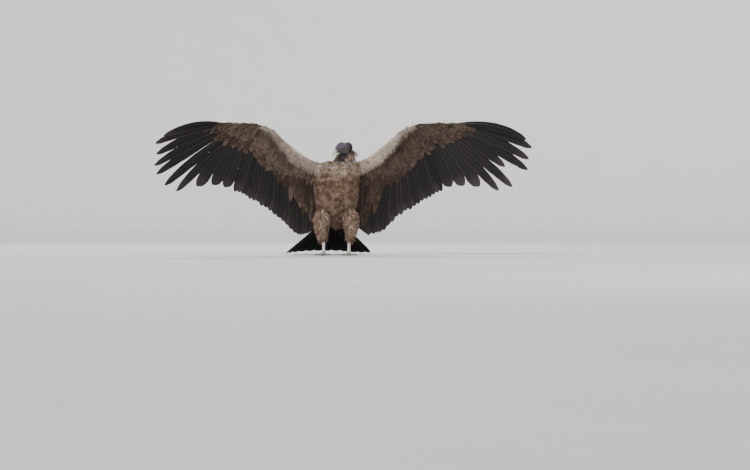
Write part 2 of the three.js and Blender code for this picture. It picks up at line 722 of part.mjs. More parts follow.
for (const [name, side] of [["left", 1], ["right", -1]]) {
  const foot = footSolid(side);
  const shank = shankSolid(side, 0);
  addNode(`thigh_${name}`, thighSolid(side).subtract(torsoClear).subtract(shankSolid(side, GAP)), BROWN);
  addNode(`shank_${name}`, shank.subtract(foot), LEG, 0.7);
  addNode(`foot_${name}`, foot, LEG, 0.7);
  for (const toe of TOES) {
    addNode(`claw_${name}_${toe.name}`, clawSolid(side, toe).subtract(foot), CLAW, 0.4);
  }
}

const outline = new THREE.Box3().setFromObject(group);
const middle = outline.getCenter(V(0, 0, 0));
group.position.set(-middle.x, -middle.y, -outline.min.z);

export default group;
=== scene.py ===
import math
from types import SimpleNamespace

import bpy
import numpy as np
from bpy.props import FloatProperty, FloatVectorProperty, IntProperty, PointerProperty
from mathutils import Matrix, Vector, noise
from mathutils.bvhtree import BVHTree


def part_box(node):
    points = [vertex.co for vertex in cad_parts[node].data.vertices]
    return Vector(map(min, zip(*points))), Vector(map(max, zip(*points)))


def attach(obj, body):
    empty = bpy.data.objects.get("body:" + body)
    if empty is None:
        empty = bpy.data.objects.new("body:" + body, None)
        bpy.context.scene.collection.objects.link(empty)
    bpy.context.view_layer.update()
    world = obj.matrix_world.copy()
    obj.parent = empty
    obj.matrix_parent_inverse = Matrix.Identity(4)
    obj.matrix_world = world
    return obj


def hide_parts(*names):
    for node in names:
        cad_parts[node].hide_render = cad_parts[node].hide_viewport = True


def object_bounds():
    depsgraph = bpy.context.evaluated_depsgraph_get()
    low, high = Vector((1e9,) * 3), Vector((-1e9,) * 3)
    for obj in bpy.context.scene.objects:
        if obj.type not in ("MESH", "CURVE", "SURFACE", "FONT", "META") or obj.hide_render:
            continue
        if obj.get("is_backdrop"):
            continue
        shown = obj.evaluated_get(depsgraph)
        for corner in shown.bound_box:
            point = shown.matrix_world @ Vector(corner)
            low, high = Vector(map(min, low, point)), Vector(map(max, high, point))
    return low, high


bl_info = {
    "name": "Andean Condor",
    "version": (1, 0, 0),
    "blender": (4, 5, 0),
    "location": "View3D > Sidebar > Condor",
    "description": "Dresses the solids of a standing young Andean condor with skin, horn and feathers",
    "category": "Object",
}

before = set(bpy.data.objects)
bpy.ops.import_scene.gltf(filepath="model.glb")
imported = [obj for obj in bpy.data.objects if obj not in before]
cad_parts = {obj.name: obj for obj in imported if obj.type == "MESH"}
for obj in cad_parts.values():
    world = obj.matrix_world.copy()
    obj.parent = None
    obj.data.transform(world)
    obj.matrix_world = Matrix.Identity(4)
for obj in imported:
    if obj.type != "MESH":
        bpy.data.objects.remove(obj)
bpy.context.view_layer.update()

# Metres. The bird faces -Y, and its own left is at +X. Places are measured from the floor, midway between
# its feet.

# Torso: level rings from the vent to the base of the neck
# (height, middle x, middle y, half width, depth to the front, depth to the back)
TORSO = (
    (0.202, 0.000, 0.082, 0.034, 0.030, 0.026),
    (0.236, 0.000, 0.082, 0.084, 0.070, 0.054),
    (0.292, 0.000, 0.074, 0.126, 0.106, 0.084),
    (0.362, 0.000, 0.054, 0.152, 0.132, 0.102),
    (0.440, 0.000, 0.036, 0.164, 0.148, 0.112),
    (0.520, 0.000, 0.022, 0.166, 0.146, 0.112),
    (0.582, 0.004, 0.018, 0.164, 0.128, 0.106),
    (0.618, 0.008, 0.014, 0.157, 0.108, 0.094),
    (0.640, 0.014, 0.010, 0.138, 0.086, 0.078),
    (0.656, 0.030, 0.006, 0.096, 0.062, 0.060),
)

# Neck: from inside the torso's top to the back of the skull
NECK = ((0.034, 0.008, 0.640), (0.062, 0.002, 0.694), (0.094, 0.004, 0.740))
NECK_RADII = (0.068, 0.061, 0.045)
# Bare throat, from inside the skull down in front of the ruff
BARE_NECK = (
    (0.060, -0.036, 0.738), (0.050, -0.034, 0.712), (0.044, -0.034, 0.684), (0.042, -0.026, 0.650),
)
BARE_NECK_RADII = (0.026, 0.025, 0.026, 0.032)
# How deep the flesh lies inside the solids
COAT_DEPTH = 0.012
NECK_DEPTH = 0.016
THIGH_DEPTH = 0.010
TAIL_DEPTH = 0.004
ARM_DEPTH = 0.003
# Edge of the cells that each skin is fused from, and how often it is smoothed
BODY_FUSING = (0.0046, 8)
HEAD_FUSING = (0.00105, 3)
LEG_FUSING = (0.0013, 3)

# Head, in its own frame: x runs forward along the bill, y to the bird's left, z up
HEAD_AT = (0.052, -0.048, 0.744)
HEAD_YAW = math.radians(60)
HEAD_PITCH = math.radians(16)
# (forward, half width, top, bottom)
SKULL = (
    (-0.065, 0.010, 0.013, -0.008),
    (-0.058, 0.022, 0.027, -0.022),
    (-0.042, 0.030, 0.035, -0.034),
    (-0.020, 0.0335, 0.038, -0.041),
    (0.000, 0.033, 0.037, -0.043),
    (0.016, 0.029, 0.034, -0.041),
    (0.030, 0.023, 0.028, -0.035),
    (0.042, 0.018, 0.0235, -0.027),
    (0.053, 0.015, 0.0195, -0.020),
)
EYE_AT = (0.013, 0.0248, 0.010)
EYE_RADIUS = 0.009
BROW = (
    (-0.010, 0.0248, 0.0205), (0.002, 0.0282, 0.0222), (0.014, 0.0277, 0.0215), (0.026, 0.0222, 0.018),
    (0.036, 0.0165, 0.013),
)
NOSTRIL_AT = (0.043, 0.006)
EAR_AT = (-0.024, -0.005)
MOUTH_HEIGHT = -0.010
# How closely the skin's folds follow one another along x, y and z: over the head, and down the throat
FOLD_GRAINS = np.array(((70.0, 70.0, 190.0), (210.0, 210.0, 70.0)))
COMB = SimpleNamespace(start=-0.012, end=0.064, rise=0.022, half=0.0075)
# (forward, height of the middle, half width, top, bottom, lean in degrees)
BILL_UPPER = (
    (0.0533, 0.000, 0.0140, 0.0180, -0.0095, 0),
    (0.065, 0.000, 0.0130, 0.0180, -0.0105, 0),
    (0.077, -0.001, 0.0110, 0.0170, -0.0130, 10),
    (0.087, -0.005, 0.0086, 0.0140, -0.0150, 34),
    (0.0945, -0.015, 0.0060, 0.0110, -0.0120, 64),
    (0.0975, -0.029, 0.0030, 0.0060, -0.0065, 84),
)
BILL_LOWER = (
    (0.030, 0.0160, -0.0106, -0.0270),
    (0.048, 0.0135, -0.0106, -0.0240),
    (0.065, 0.0110, -0.0112, -0.0220),
    (0.076, 0.0075, -0.0144, -0.0215),
    (0.083, 0.0036, -0.0166, -0.0206),
)

# Left leg; the right one mirrors it
# (height, middle x, middle y, half width, half depth)
THIGH = (
    (0.336, 0.084, 0.024, 0.046, 0.062),
    (0.276, 0.098, 0.018, 0.058, 0.072),
    (0.215, 0.103, 0.014, 0.056, 0.066),
    (0.165, 0.101, 0.014, 0.046, 0.052),
    (0.130, 0.096, 0.018, 0.034, 0.038),
    (0.108, 0.092, 0.021, 0.024, 0.026),
)
HOCK = (0.090, 0.024, 0.120)
ANKLE = (0.088, 0.002, 0.022)
SHANK_RADIUS = 0.0105
# Shares of the way from hock to ankle, and how thick the shank is there
SHANK_SWELL = ((-0.35, -0.12, 0.0, 0.12, 0.3, 0.75, 1), (0.9, 1.05, 1.2, 1.16, 0.94, 0.92, 1.12))
# (turn from straight ahead in degrees, length, radius)
TOES = {
    "middle": (4, 0.104, 0.0084),
    "inner": (-34, 0.070, 0.0072),
    "outer": (38, 0.076, 0.0072),
    "hind": (172, 0.038, 0.0066),
}
CLAW_LENGTH = 0.024
CLAW_DROP = 0.0044
# Shares of the way along a claw, and its radius there
CLAW_TAPER = ((-0.25, 0.3, 0.7, 1), (0.0044, 0.0041, 0.0028, 0.0009))

# Left wing, from the shoulder to the end of the hand; the right one mirrors it
LEADING_EDGE = (
    (0.110, 0.042, 0.642), (0.226, 0.040, 0.692), (0.366, 0.026, 0.800), (0.468, 0.010, 0.882),
    (0.572, 0.000, 0.914), (0.692, -0.004, 0.928), (0.818, -0.008, 0.930),
)
ARM_BONES = (
    (0.130, 0.066, 0.566), (0.258, 0.078, 0.622), (0.388, 0.074, 0.676), (0.486, 0.042, 0.786),
    (0.576, 0.008, 0.890), (0.690, 0.000, 0.904), (0.806, -0.006, 0.914),
)
ARM_HALF_THICKNESS = (0.040, 0.027, 0.021, 0.018, 0.014, 0.011, 0.007)
ARM_TRAIL = (0.034, 0.034, 0.030, 0.028, 0.024, 0.020, 0.014)
WRIST_KNOT = 4
TRAILING_EDGE = (
    (0.156, 0.138, 0.200), (0.222, 0.144, 0.150), (0.296, 0.145, 0.156), (0.408, 0.136, 0.250),
    (0.532, 0.112, 0.338), (0.640, 0.084, 0.402), (0.742, 0.058, 0.452),
)
# Shares of the arm bones' curve between which the inner and the hand's feathers have their roots
INNER_ROOTS = (0.05, 0.652)
HAND_ROOTS = (0.692, 0.985)
BROAD_PRIMARIES = 3
PRIMARY_FAN = (62.5, 55.5, 48.5, 43.2, 37.6, 30.8, 26.8, 21.6, 15, 11)
PRIMARY_LENGTH = (0.470, 0.502, 0.558, 0.660, 0.688, 0.690, 0.680, 0.648, 0.622, 0.556)
# How each wing differs: its reach, how far the hand folds back at the wrist and the long feathers sweep
# forward (degrees), which primary is still growing, counted from the inner ones, with the share of its
# length that it has reached, and how worn and pale the coverts are
WINGS = (
    SimpleNamespace(
        name="left", mirror=1, reach=1.0, fold=0, forward=10, regrowing=6, regrown=0.82, worn=0.40,
    ),
    SimpleNamespace(
        name="right", mirror=-1, reach=0.965, fold=16, forward=40, regrowing=0, regrown=1.0, worn=0.85,
    ),
)
# Tilt of each large feather out of the wing's plane, in radians, so that it overlaps the next one
LOUVRE = 0.085

# Tail
TAIL_ROOT = (-0.038, 0.160, 0.250)
TAIL_ROOT_SPREAD = 0.040
TAIL_FAN = (-80, 52)
TAIL_LENGTH = 0.376
TAIL_BOW = 0.016
TAIL_TIP_HEIGHT = 0.009
TAIL_LAYER = 0.016
# (middle x, y, z, half width, half depth)
TAIL_BASE = (
    (-0.008, 0.106, 0.302, 0.084, 0.030), (-0.022, 0.140, 0.276, 0.086, 0.024),
    (-0.034, 0.168, 0.252, 0.076, 0.016), (-0.040, 0.192, 0.230, 0.058, 0.008),
)

# Camera: a long lens, level with the bird's feet, aimed at the middle of the picture
CAMERA_DISTANCE = 16.0
CAMERA_HEIGHT = 0.30
PICTURE_MIDDLE = (0.271, 0.143)
PICTURE_WIDTH = 5.25
SENSOR_WIDTH = 36.0
# Half the width of a small feather's patch on the map
PATCH = 0.0015


def srgb(code):
    """A colour given as a display code, as linear red, green and blue."""
    parts = ((code >> 16 & 255) / 255, (code >> 8 & 255) / 255, (code & 255) / 255)
    return tuple(c / 12.92 if c <= 0.04045 else ((c + 0.055) / 1.055) ** 2.4 for c in parts)


def colour(name, description, code):
    return FloatVectorProperty(
        name=name, description=description, subtype="COLOR", size=3, min=0, max=1, default=srgb(code)
    )


def length(name, description, metres):
    return FloatProperty(name=name, description=description, unit="LENGTH", min=0, default=metres)


class CondorSizes(bpy.types.PropertyGroup):
    """Sizes of the bird's feathers and scales"""

    body_feather: length("Body feather", "Length of a feather on the breast and back", 0.042)
    body_spacing: length("Body feather spacing", "Distance from one body feather's root to the next", 0.0070)
    wisp_spacing: length("Wisp spacing", "Distance from one loose wisp of a body feather to the next", 0.0048)
    thigh_feather: length("Thigh feather", "Length of a feather on the thigh", 0.046)
    ruff_down: length("Ruff down", "Length of the down of the ruff", 0.052)
    bristle: length("Bristle", "Length of the sparse bristles on the head", 0.0045)
    scale_pitch: length("Scale pitch", "Distance between the scales down the shank and toes", 0.0056)
    inner_feathers: IntProperty(
        name="Inner feathers", description="Feathers from body to wrist", default=24, min=4
    )
    tail_feathers: IntProperty(
        name="Tail feathers", description="Feathers in the tail's fan", default=12, min=2
    )


class CondorColours(bpy.types.PropertyGroup):
    """Colours of the bird's plumage, skin and horn"""

    body_deep: colour("Body, deep", "Shaded brown of the body feathers", 0x35251C)
    body_mid: colour("Body, middle", "Main brown of the body feathers", 0x8C6D58)
    # body_pale is partly painted sunlight: besides bleached tips, it lightens the shoulders and the wings'
    # front edges as if the sun fell on them
    body_pale: colour("Body, pale", "Bleached tips, and the wings' front edges partly lit by painted sunlight", 0xE8D4C1)
    covert_deep: colour("Coverts, deep", "Shaded brown of the wing coverts", 0x211712)
    covert_mid: colour("Coverts, middle", "Main brown of the wing coverts", 0x493B32)
    covert_pale: colour("Coverts, pale", "Worn edges of the wing coverts", 0x8C7868)
    flight_deep: colour("Flight feathers, deep", "Inner vanes of the flight feathers", 0x0E0C0C)
    flight_mid: colour("Flight feathers, middle", "Outer vanes of the flight feathers", 0x1E1A1A)
    # flight_pale is partly painted sheen: the grey on the vanes' tips and edges also stands in for their
    # shine, besides real bloom and wear
    flight_pale: colour("Flight feathers, bloom and sheen", "Grey bloom and worn edges, partly painted sheen of the vanes", 0x504949)
    tail_mid: colour("Tail", "Main tone of the tail", 0x0A0A0B)
    down: colour("Ruff", "Buff of the ruff", 0x97806B)
    skin_crown: colour("Crown", "Bare skin of the crown and comb", 0x69636F)
    skin_face: colour("Face", "Bare skin of the face", 0x4B474C)
    # skin_throat is the throat's own dark skin, and also painted shade under the head and in the creases of
    # the bare skin
    skin_throat: colour("Throat", "Bare skin of the throat, darkened by painted shade under the head", 0x231C1D)
    bill_tip: colour("Bill tip", "Ivory of the bill", 0xD2CEC2)
    bill_base: colour("Bill base", "Dark base of the bill", 0x4A4442)
    shank: colour("Shank", "Whitened scales of the legs", 0xE2DFD8)
    scale_gap: colour("Between scales", "Grey skin between the scales", 0x6E6862)
    claw: colour("Claws", "Horn of the claws", 0x2E2925)
    iris: colour("Iris", "Brown of the eye", 0x4A2A1A)
    floor: colour("Floor", "Floor and backdrop", 0xE9E7E3)


def v3(values):
    return np.array(values, float)


def unit(v):
    return v / np.maximum(np.linalg.norm(v, axis=-1, keepdims=True), 1e-12)


def mix(a, b, t):
    return a + (b - a) * t


def step(low, high, x):
    """A soft step from 0 at low to 1 at high."""
    t = np.clip((x - low) / (high - low), 0, 1)
    return t * t * (3 - 2 * t)


def turned(v, axis, angle):
    """v turned about a unit axis."""
    c, s = math.cos(angle), math.sin(angle)
    return v * c + np.cross(axis, v) * s + axis * np.dot(axis, v) * (1 - c)


def full_turn(count):
    """Angles once round, evenly apart."""
    return np.linspace(0, 2 * math.pi, count, endpoint=False)


def uneven(rng, amount, count=None):
    """Factors about 1 that vary by amount to either side."""
    return 1 + amount * rng.uniform(-1, 1, count)


def mirrored(p, side):
    """A place on the left side, or the same on the side given as 1 or -1."""
    return v3(p) * (side, 1, 1)


def head_axes():
    yaw, pitch = HEAD_YAW, HEAD_PITCH
    forward = v3((-math.sin(yaw) * math.cos(pitch), -math.cos(yaw) * math.cos(pitch), -math.sin(pitch)))
    up = v3((-math.sin(yaw) * math.sin(pitch), -math.cos(yaw) * math.sin(pitch), math.cos(pitch)))
    return np.stack((forward, np.cross(up, forward), up))


HEAD_AXES = head_axes()


def from_head(points):
    """Places in the head's own frame, as places on the bird."""
    return v3(HEAD_AT) + np.asarray(points, float) @ HEAD_AXES


def to_head(points):
    return (np.asarray(points, float) - v3(HEAD_AT)) @ HEAD_AXES.T


def frame_shift():
    """How far the part's own origin lies from the floor between the feet: the left eye shows it."""
    low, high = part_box("eye_left")
    return (low + high) / 2 - Vector(from_head(EYE_AT))


SHIFT = frame_shift()


def curve_point(points, t):
    """A point on a centripetal Catmull-Rom curve through points, at the share t of its knots."""
    points = np.asarray(points, float)
    last = len(points) - 1
    knot = min(int(t * last), last - 1)
    share = t * last - knot
    p1, p2 = points[knot], points[knot + 1]
    p0 = points[knot - 1] if knot > 0 else 2 * points[0] - points[1]
    p3 = points[knot + 2] if knot + 2 <= last else 2 * points[last] - points[last - 1]
    d0, d1, d2 = (math.sqrt(max(np.linalg.norm(b - a), 1e-9)) for a, b in ((p0, p1), (p1, p2), (p2, p3)))
    m1 = ((p1 - p0) / d0 - (p2 - p0) / (d0 + d1) + (p2 - p1) / d1) * d1
    m2 = ((p2 - p1) / d1 - (p3 - p1) / (d1 + d2) + (p3 - p2) / d2) * d1
    c2 = -3 * p1 + 3 * p2 - 2 * m1 - m2
    c3 = 2 * p1 - 2 * p2 + m1 + m2
    return p1 + m1 * share + c2 * share**2 + c3 * share**3


def curve_points(points, count):
    return np.array([curve_point(points, t) for t in np.linspace(0, 1, count)])


# Closed forms in mesh code

def oval_rings(middles, across, up, sides):
    """Rings about middles, on two half axes each, as an array (rings, sides, 3)."""
    turn = full_turn(sides)
    c, s = np.cos(turn)[None, :, None], np.sin(turn)[None, :, None]
    return middles[:, None, :] + across[:, None, :] * c + up[:, None, :] * s


def tube_rings(path, radii, sides, rolled=(0, 0, 1)):
    """Rings of a tube along a path, which never runs along the direction rolled."""
    path, radii = np.asarray(path, float), np.asarray(radii, float)
    along = unit(np.gradient(path, axis=0))
    across = np.cross(v3(rolled), along)
    across[np.linalg.norm(across, axis=1) < 0.1] = (1, 0, 0)
    across = unit(across)
    up = np.cross(along, across)
    return oval_rings(path, across * radii[:, None], up * radii[:, None], sides)


def tube_quads(count, sides):
    """The walls between rings that follow one another."""
    a = (np.arange(count - 1)[:, None] * sides + np.arange(sides)).ravel()
    b = (np.arange(count - 1)[:, None] * sides + (np.arange(sides) + 1) % sides).ravel()
    return np.stack((a, b, b + sides, a + sides), 1)


def closed_loft(rings):
    """Points and faces of a loft through rings, closed by a fan at each end."""
    count, sides = rings.shape[:2]
    points = np.concatenate((rings.reshape(-1, 3), rings[:1].mean(1), rings[-1:].mean(1)))
    quads = tube_quads(count, sides)
    ring = np.arange(sides)
    after = (ring + 1) % sides
    first = np.stack((np.full(sides, count * sides), after, ring), 1)
    top = (count - 1) * sides
    second = np.stack((np.full(sides, count * sides + 1), ring + top, after + top), 1)
    return points, [quads, np.concatenate((first, second))]


def loft_shares(rings):
    """The share of the length for each point of a closed loft."""
    share = np.repeat(np.linspace(0, 1, len(rings)), rings.shape[1])
    return np.concatenate((share, (0.0, 1.0)))


def upright_rings(x, y, z, half_width, half_height, sides):
    """Upright rings along x, by their middles, half widths and half heights."""
    none = np.zeros(len(x))
    middles = np.stack((x, none + y, z), 1)
    across = np.stack((none, half_width, none), 1)
    up = np.stack((none, none, half_height), 1)
    return oval_rings(middles, across, up, sides)


def ellipsoid(middle, radii, sides=24, rounds=14):
    angle = np.linspace(0.04, math.pi - 0.04, rounds)
    x, y, z = middle
    wide, high = np.sin(angle) * radii[1], np.sin(angle) * radii[2]
    return closed_loft(upright_rings(x - np.cos(angle) * radii[0], y, z + 0 * angle, wide, high, sides))


def join_parts(parts):
    """Several (points, faces) as one."""
    points, tris, quads, start = [], [], [], 0
    for part_points, faces in parts:
        points.append(part_points)
        for face in faces:
            (quads if face.shape[1] == 4 else tris).append(face + start)
        start += len(part_points)
    return np.concatenate(points), [np.concatenate(f) for f in (quads, tris) if f]


def make_mesh(name, points, faces, attributes=None, uv=None):
    """A smooth mesh from arrays. faces is a list of index arrays, and uv and attributes are per point."""
    mesh = bpy.data.meshes.new(name)
    corners = np.concatenate([f.ravel() for f in faces]).astype(np.int32)
    sizes = np.concatenate([np.full(len(f), f.shape[1]) for f in faces])
    starts = np.concatenate(((0,), np.cumsum(sizes)[:-1])).astype(np.int32)
    mesh.vertices.add(len(points))
    mesh.vertices.foreach_set("co", np.ascontiguousarray(points, np.float32).ravel())
    mesh.loops.add(len(corners))
    mesh.loops.foreach_set("vertex_index", corners)
    mesh.polygons.add(len(sizes))
    mesh.polygons.foreach_set("loop_start", starts)
    mesh.polygons.foreach_set("use_smooth", np.ones(len(sizes), bool))
    mesh.update(calc_edges=True)
    for key, values in (attributes or {}).items():
        layer = mesh.attributes.new(key, "FLOAT", "POINT")
        layer.data.foreach_set("value", np.ascontiguousarray(values, np.float32))
    if uv is not None:
        layer = mesh.uv_layers.new(name="OFBake")
        layer.data.foreach_set("uv", np.ascontiguousarray(uv[corners], np.float32).ravel())
    return mesh


def placed(name, data):
    """A new object in the scene."""
    thing = bpy.data.objects.new(name, data)
    bpy.context.scene.collection.objects.link(thing)
    return thing


def make_piece(name, mesh, material, nodes=()):
    """Puts a mesh on the bird, riding on its one body and standing for the solids in nodes."""
    piece = placed(name, mesh)
    piece.location = SHIFT
    mesh.materials.append(material)
    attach(piece, "root")
    if nodes:
        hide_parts(*nodes)
    return piece


def fused_mesh(name, parts, voxel, smoothing):
    """One closed skin over overlapping closed parts, made from cells of the size voxel."""
    points, faces = join_parts(parts)
    mesh = make_mesh(name, points, faces)
    holder = placed(name, mesh)
    remesh = holder.modifiers.new("Skin", "REMESH")
    remesh.mode = "VOXEL"
    remesh.voxel_size = voxel
    remesh.use_smooth_shade = True
    smooth = holder.modifiers.new("Relax", "SMOOTH")
    smooth.iterations = smoothing
    smooth.factor = 0.5
    result = bpy.data.meshes.new_from_object(holder.evaluated_get(bpy.context.evaluated_depsgraph_get()))
    bpy.data.objects.remove(holder)
    bpy.data.meshes.remove(mesh)
    return result


def mesh_points(mesh):
    points = np.empty(len(mesh.vertices) * 3, np.float32)
    mesh.vertices.foreach_get("co", points)
    normals = np.empty(len(mesh.vertices) * 3, np.float32)
    mesh.vertices.foreach_get("normal", normals)
    return points.reshape(-1, 3).astype(float), normals.reshape(-1, 3).astype(float)


def mesh_faces(mesh):
    """A mesh's faces as index arrays, three-cornered and four-cornered ones apart."""
    corners = np.empty(len(mesh.loops), np.int32)
    mesh.loops.foreach_get("vertex_index", corners)
    starts = np.empty(len(mesh.polygons), np.int32)
    mesh.polygons.foreach_get("loop_start", starts)
    totals = np.empty(len(mesh.polygons), np.int32)
    mesh.polygons.foreach_get("loop_total", totals)
    kinds = [k for k in (4, 3) if (totals == k).any()]
    return [corners[starts[totals == k][:, None] + np.arange(k)] for k in kinds]


# Shader nodes

def put(tree, kind, sockets=None, **settings):
    """Adds a node, sets its options, and links or sets its sockets."""
    node = tree.nodes.new(kind)
    for key, value in settings.items():
        setattr(node, key, value)
    for key, value in (sockets or {}).items():
        if isinstance(value, bpy.types.NodeSocket):
            tree.links.new(value, node.inputs[key])
        else:
            node.inputs[key].default_value = value
    return node


def maths(tree, operation, a, b=0.0, clamp=False):
    return put(tree, "ShaderNodeMath", {0: a, 1: b}, operation=operation, use_clamp=clamp).outputs[0]


def blend(tree, factor, a, b):
    return put(tree, "ShaderNodeMix", {0: factor, 6: a, 7: b}, data_type="RGBA").outputs[2]


def blend_value(tree, factor, a, b):
    return put(tree, "ShaderNodeMix", {0: factor, 2: a, 3: b}).outputs[0]


def attribute(tree, name):
    return put(tree, "ShaderNodeAttribute", attribute_name=name).outputs["Fac"]


def spread(tree, value, low, high, to_low=0.0, to_high=1.0):
    node = put(tree, "ShaderNodeMapRange", {0: value, 1: low, 2: high, 3: to_low, 4: to_high})
    return node.outputs[0]


def cloud(tree, scale, detail, distortion=0.0):
    """Soft noise from the place on the bird."""
    place = put(tree, "ShaderNodeTexCoord").outputs["Object"]
    sockets = {"Vector": place, "Scale": scale, "Detail": detail, "Distortion": distortion}
    return put(tree, "ShaderNodeTexNoise", sockets).outputs[0]


def bands(tree, place, detail):
    """Noise along a line only."""
    sockets = {"W": place, "Scale": 1.0, "Detail": detail}
    return put(tree, "ShaderNodeTexNoise", sockets, noise_dimensions="1D").outputs[0]


def rgba(rgb, factor=1.0):
    return (rgb[0] * factor, rgb[1] * factor, rgb[2] * factor, 1.0)


def new_group(name, inputs, outputs):
    """An empty node group with named sockets."""
    tree = bpy.data.node_groups.new(name, "ShaderNodeTree")
    for socket, kind, value in inputs:
        item = tree.interface.new_socket(name=socket, in_out="INPUT", socket_type=kind)
        item.default_value = value
    for socket, kind in outputs:
        tree.interface.new_socket(name=socket, in_out="OUTPUT", socket_type=kind)
    return tree, tree.nodes.new("NodeGroupInput").outputs, tree.nodes.new("NodeGroupOutput")


FLOAT = "NodeSocketFloat"
COLOUR = "NodeSocketColor"


def barbs_group():
    """Fine slanted lines on both vanes of a feather, from its own along and across coordinates."""
    if "Feather barbs" in bpy.data.node_groups:
        return bpy.data.node_groups["Feather barbs"]
    inputs = [("Barbs", FLOAT, 90.0), ("Slant", FLOAT, 0.12), ("Shaft", FLOAT, 0.08)]
    outputs = [("Height", FLOAT), ("Streak", FLOAT), ("Shaft", FLOAT), ("Edge", FLOAT)]
    tree, given, out = new_group("Feather barbs", inputs, outputs)
    across = maths(tree, "ABSOLUTE", attribute(tree, "across"))
    along = maths(tree, "SUBTRACT", attribute(tree, "along"), maths(tree, "MULTIPLY", across, given["Slant"]))
    line = maths(tree, "MULTIPLY", along, given["Barbs"])
    tone = attribute(tree, "tone")
    fine = bands(tree, line, 1.0)
    drift = maths(tree, "ADD", maths(tree, "MULTIPLY", line, 0.13), maths(tree, "MULTIPLY", tone, 40.0))
    broad = bands(tree, drift, 2.0)
    shaft = maths(tree, "LESS_THAN", across, given["Shaft"])
    tree.links.new(blend_value(tree, 0.5, fine, broad), out.inputs["Streak"])
    tree.links.new(maths(tree, "MAXIMUM", fine, shaft), out.inputs["Height"])
    tree.links.new(shaft, out.inputs["Shaft"])
    tree.links.new(spread(tree, across, 0.72, 1.0), out.inputs["Edge"])
    return tree


def plumage_group():
    """Feather colour: deep at the root and in the shade, paler along the worn tip and where marked pale."""
    if "Plumage colour" in bpy.data.node_groups:
        return bpy.data.node_groups["Plumage colour"]
    inputs = [
        ("Deep", COLOUR, (0.1, 0.1, 0.1, 1)), ("Middle", COLOUR, (0.3, 0.3, 0.3, 1)),
        ("Pale", COLOUR, (0.6, 0.6, 0.6, 1)), ("Streak", FLOAT, 0.5), ("Edge", FLOAT, 0.0),
        ("Tip", FLOAT, 0.35), ("Contrast", FLOAT, 0.6),
    ]
    tree, given, out = new_group("Plumage colour", inputs, [("Color", COLOUR)])
    tone = attribute(tree, "tone")
    along = attribute(tree, "along")
    lift = blend_value(tree, 0.6, along, tone)
    wander = maths(tree, "MULTIPLY", maths(tree, "SUBTRACT", given["Streak"], 0.5), given["Contrast"])
    base = blend(tree, maths(tree, "ADD", lift, wander, clamp=True), given["Deep"], given["Middle"])
    worn = maths(tree, "MAXIMUM", spread(tree, along, 0.80, 1.0), given["Edge"])
    worn = maths(tree, "MULTIPLY", maths(tree, "MULTIPLY", worn, given["Tip"]), tone)
    pale = maths(tree, "MULTIPLY", attribute(tree, "mark"), spread(tree, along, 0.0, 0.6, 0.45, 1.0))
    amount = maths(tree, "MAXIMUM", worn, pale, clamp=True)
    tree.links.new(blend(tree, amount, base, given["Pale"]), out.inputs["Color"])
    return tree


def wrinkle_group():
    """Thin creases and grain of bare skin, from the place on the bird."""
    if "Skin wrinkles" in bpy.data.node_groups:
        return bpy.data.node_groups["Skin wrinkles"]
    inputs = [("Fold scale", FLOAT, 150.0), ("Grain scale", FLOAT, 1100.0)]
    tree, given, out = new_group("Skin wrinkles", inputs, [("Height", FLOAT), ("Crease", FLOAT)])
    folds = cloud(tree, given["Fold scale"], 5.0, 0.6)
    away = maths(tree, "ABSOLUTE", maths(tree, "SUBTRACT", folds, 0.5))
    crease = spread(tree, away, 0.0, 0.07)
    grain = cloud(tree, given["Grain scale"], 3.0)
    tree.links.new(blend_value(tree, 0.35, crease, grain), out.inputs["Height"])
    tree.links.new(crease, out.inputs["Crease"])
    return tree


def horn_group():
    """Growth lines and small scratches of horn."""
    if "Horn growth" in bpy.data.node_groups:
        return bpy.data.node_groups["Horn growth"]
    outputs = [("Height", FLOAT), ("Line", FLOAT)]
    tree, given, out = new_group("Horn growth", [("Lines", FLOAT, 26.0)], outputs)
    wander = cloud(tree, 160.0, 3.0)
    along = maths(tree, "MULTIPLY", attribute(tree, "along"), given["Lines"])
    line = bands(tree, maths(tree, "ADD", along, wander), 2.0)
    height = maths(tree, "ADD", maths(tree, "MULTIPLY", line, 0.6), maths(tree, "MULTIPLY", wander, 0.4))
    tree.links.new(height, out.inputs["Height"])
    tree.links.new(line, out.inputs["Line"])
    return tree


def new_material(name, roughness, **sockets):
    """A material with a Principled shader, and its tree."""
    material = bpy.data.materials.new(name)
    material.use_nodes = True
    tree = material.node_tree
    tree.nodes.clear()
    shader = put(tree, "ShaderNodeBsdfPrincipled", {"Roughness": roughness})
    for key, value in sockets.items():
        shader.inputs[key.replace("_", " ")].default_value = value
    out = tree.nodes.new("ShaderNodeOutputMaterial")
    tree.links.new(shader.outputs[0], out.inputs[0])
    return material, tree, shader


def bump(tree, shader, height, distance):
    node = put(tree, "ShaderNodeBump", {"Height": height, "Distance": distance, "Strength": 1.0})
    tree.links.new(node.outputs[0], shader.inputs["Normal"])


def feather_material(
    name, tones, barbs, tip, contrast, roughness, shaft=None, depth=0.0004, slant=0.12,
):
    """Vanes of barbs in three tones, with a shaft of its own tone on large feathers.

    barbs is how many lines run across a feather's length and slant how far they lean. tip is how pale its
    worn end is, contrast how strong its lines are and depth how high they stand."""
    deep, middle, pale = tones
    material, tree, shader = new_material(name, roughness, Specular_IOR_Level=0.2)
    lines = put(
        tree, "ShaderNodeGroup", {"Barbs": barbs, "Slant": slant, "Shaft": 0.07 if shaft else 0.0},
        node_tree=barbs_group(),
    )
    paint = put(tree, "ShaderNodeGroup", {
        "Deep": rgba(deep), "Middle": rgba(middle), "Pale": rgba(pale), "Tip": tip, "Contrast": contrast,
        "Streak": lines.outputs["Streak"], "Edge": lines.outputs["Edge"],
    }, node_tree=plumage_group())
    final = paint.outputs["Color"]
    if shaft:
        final = blend(tree, lines.outputs["Shaft"], final, rgba(shaft))
    tree.links.new(final, shader.inputs["Base Color"])
    bump(tree, shader, lines.outputs["Height"], depth)
    return material


# Feathers

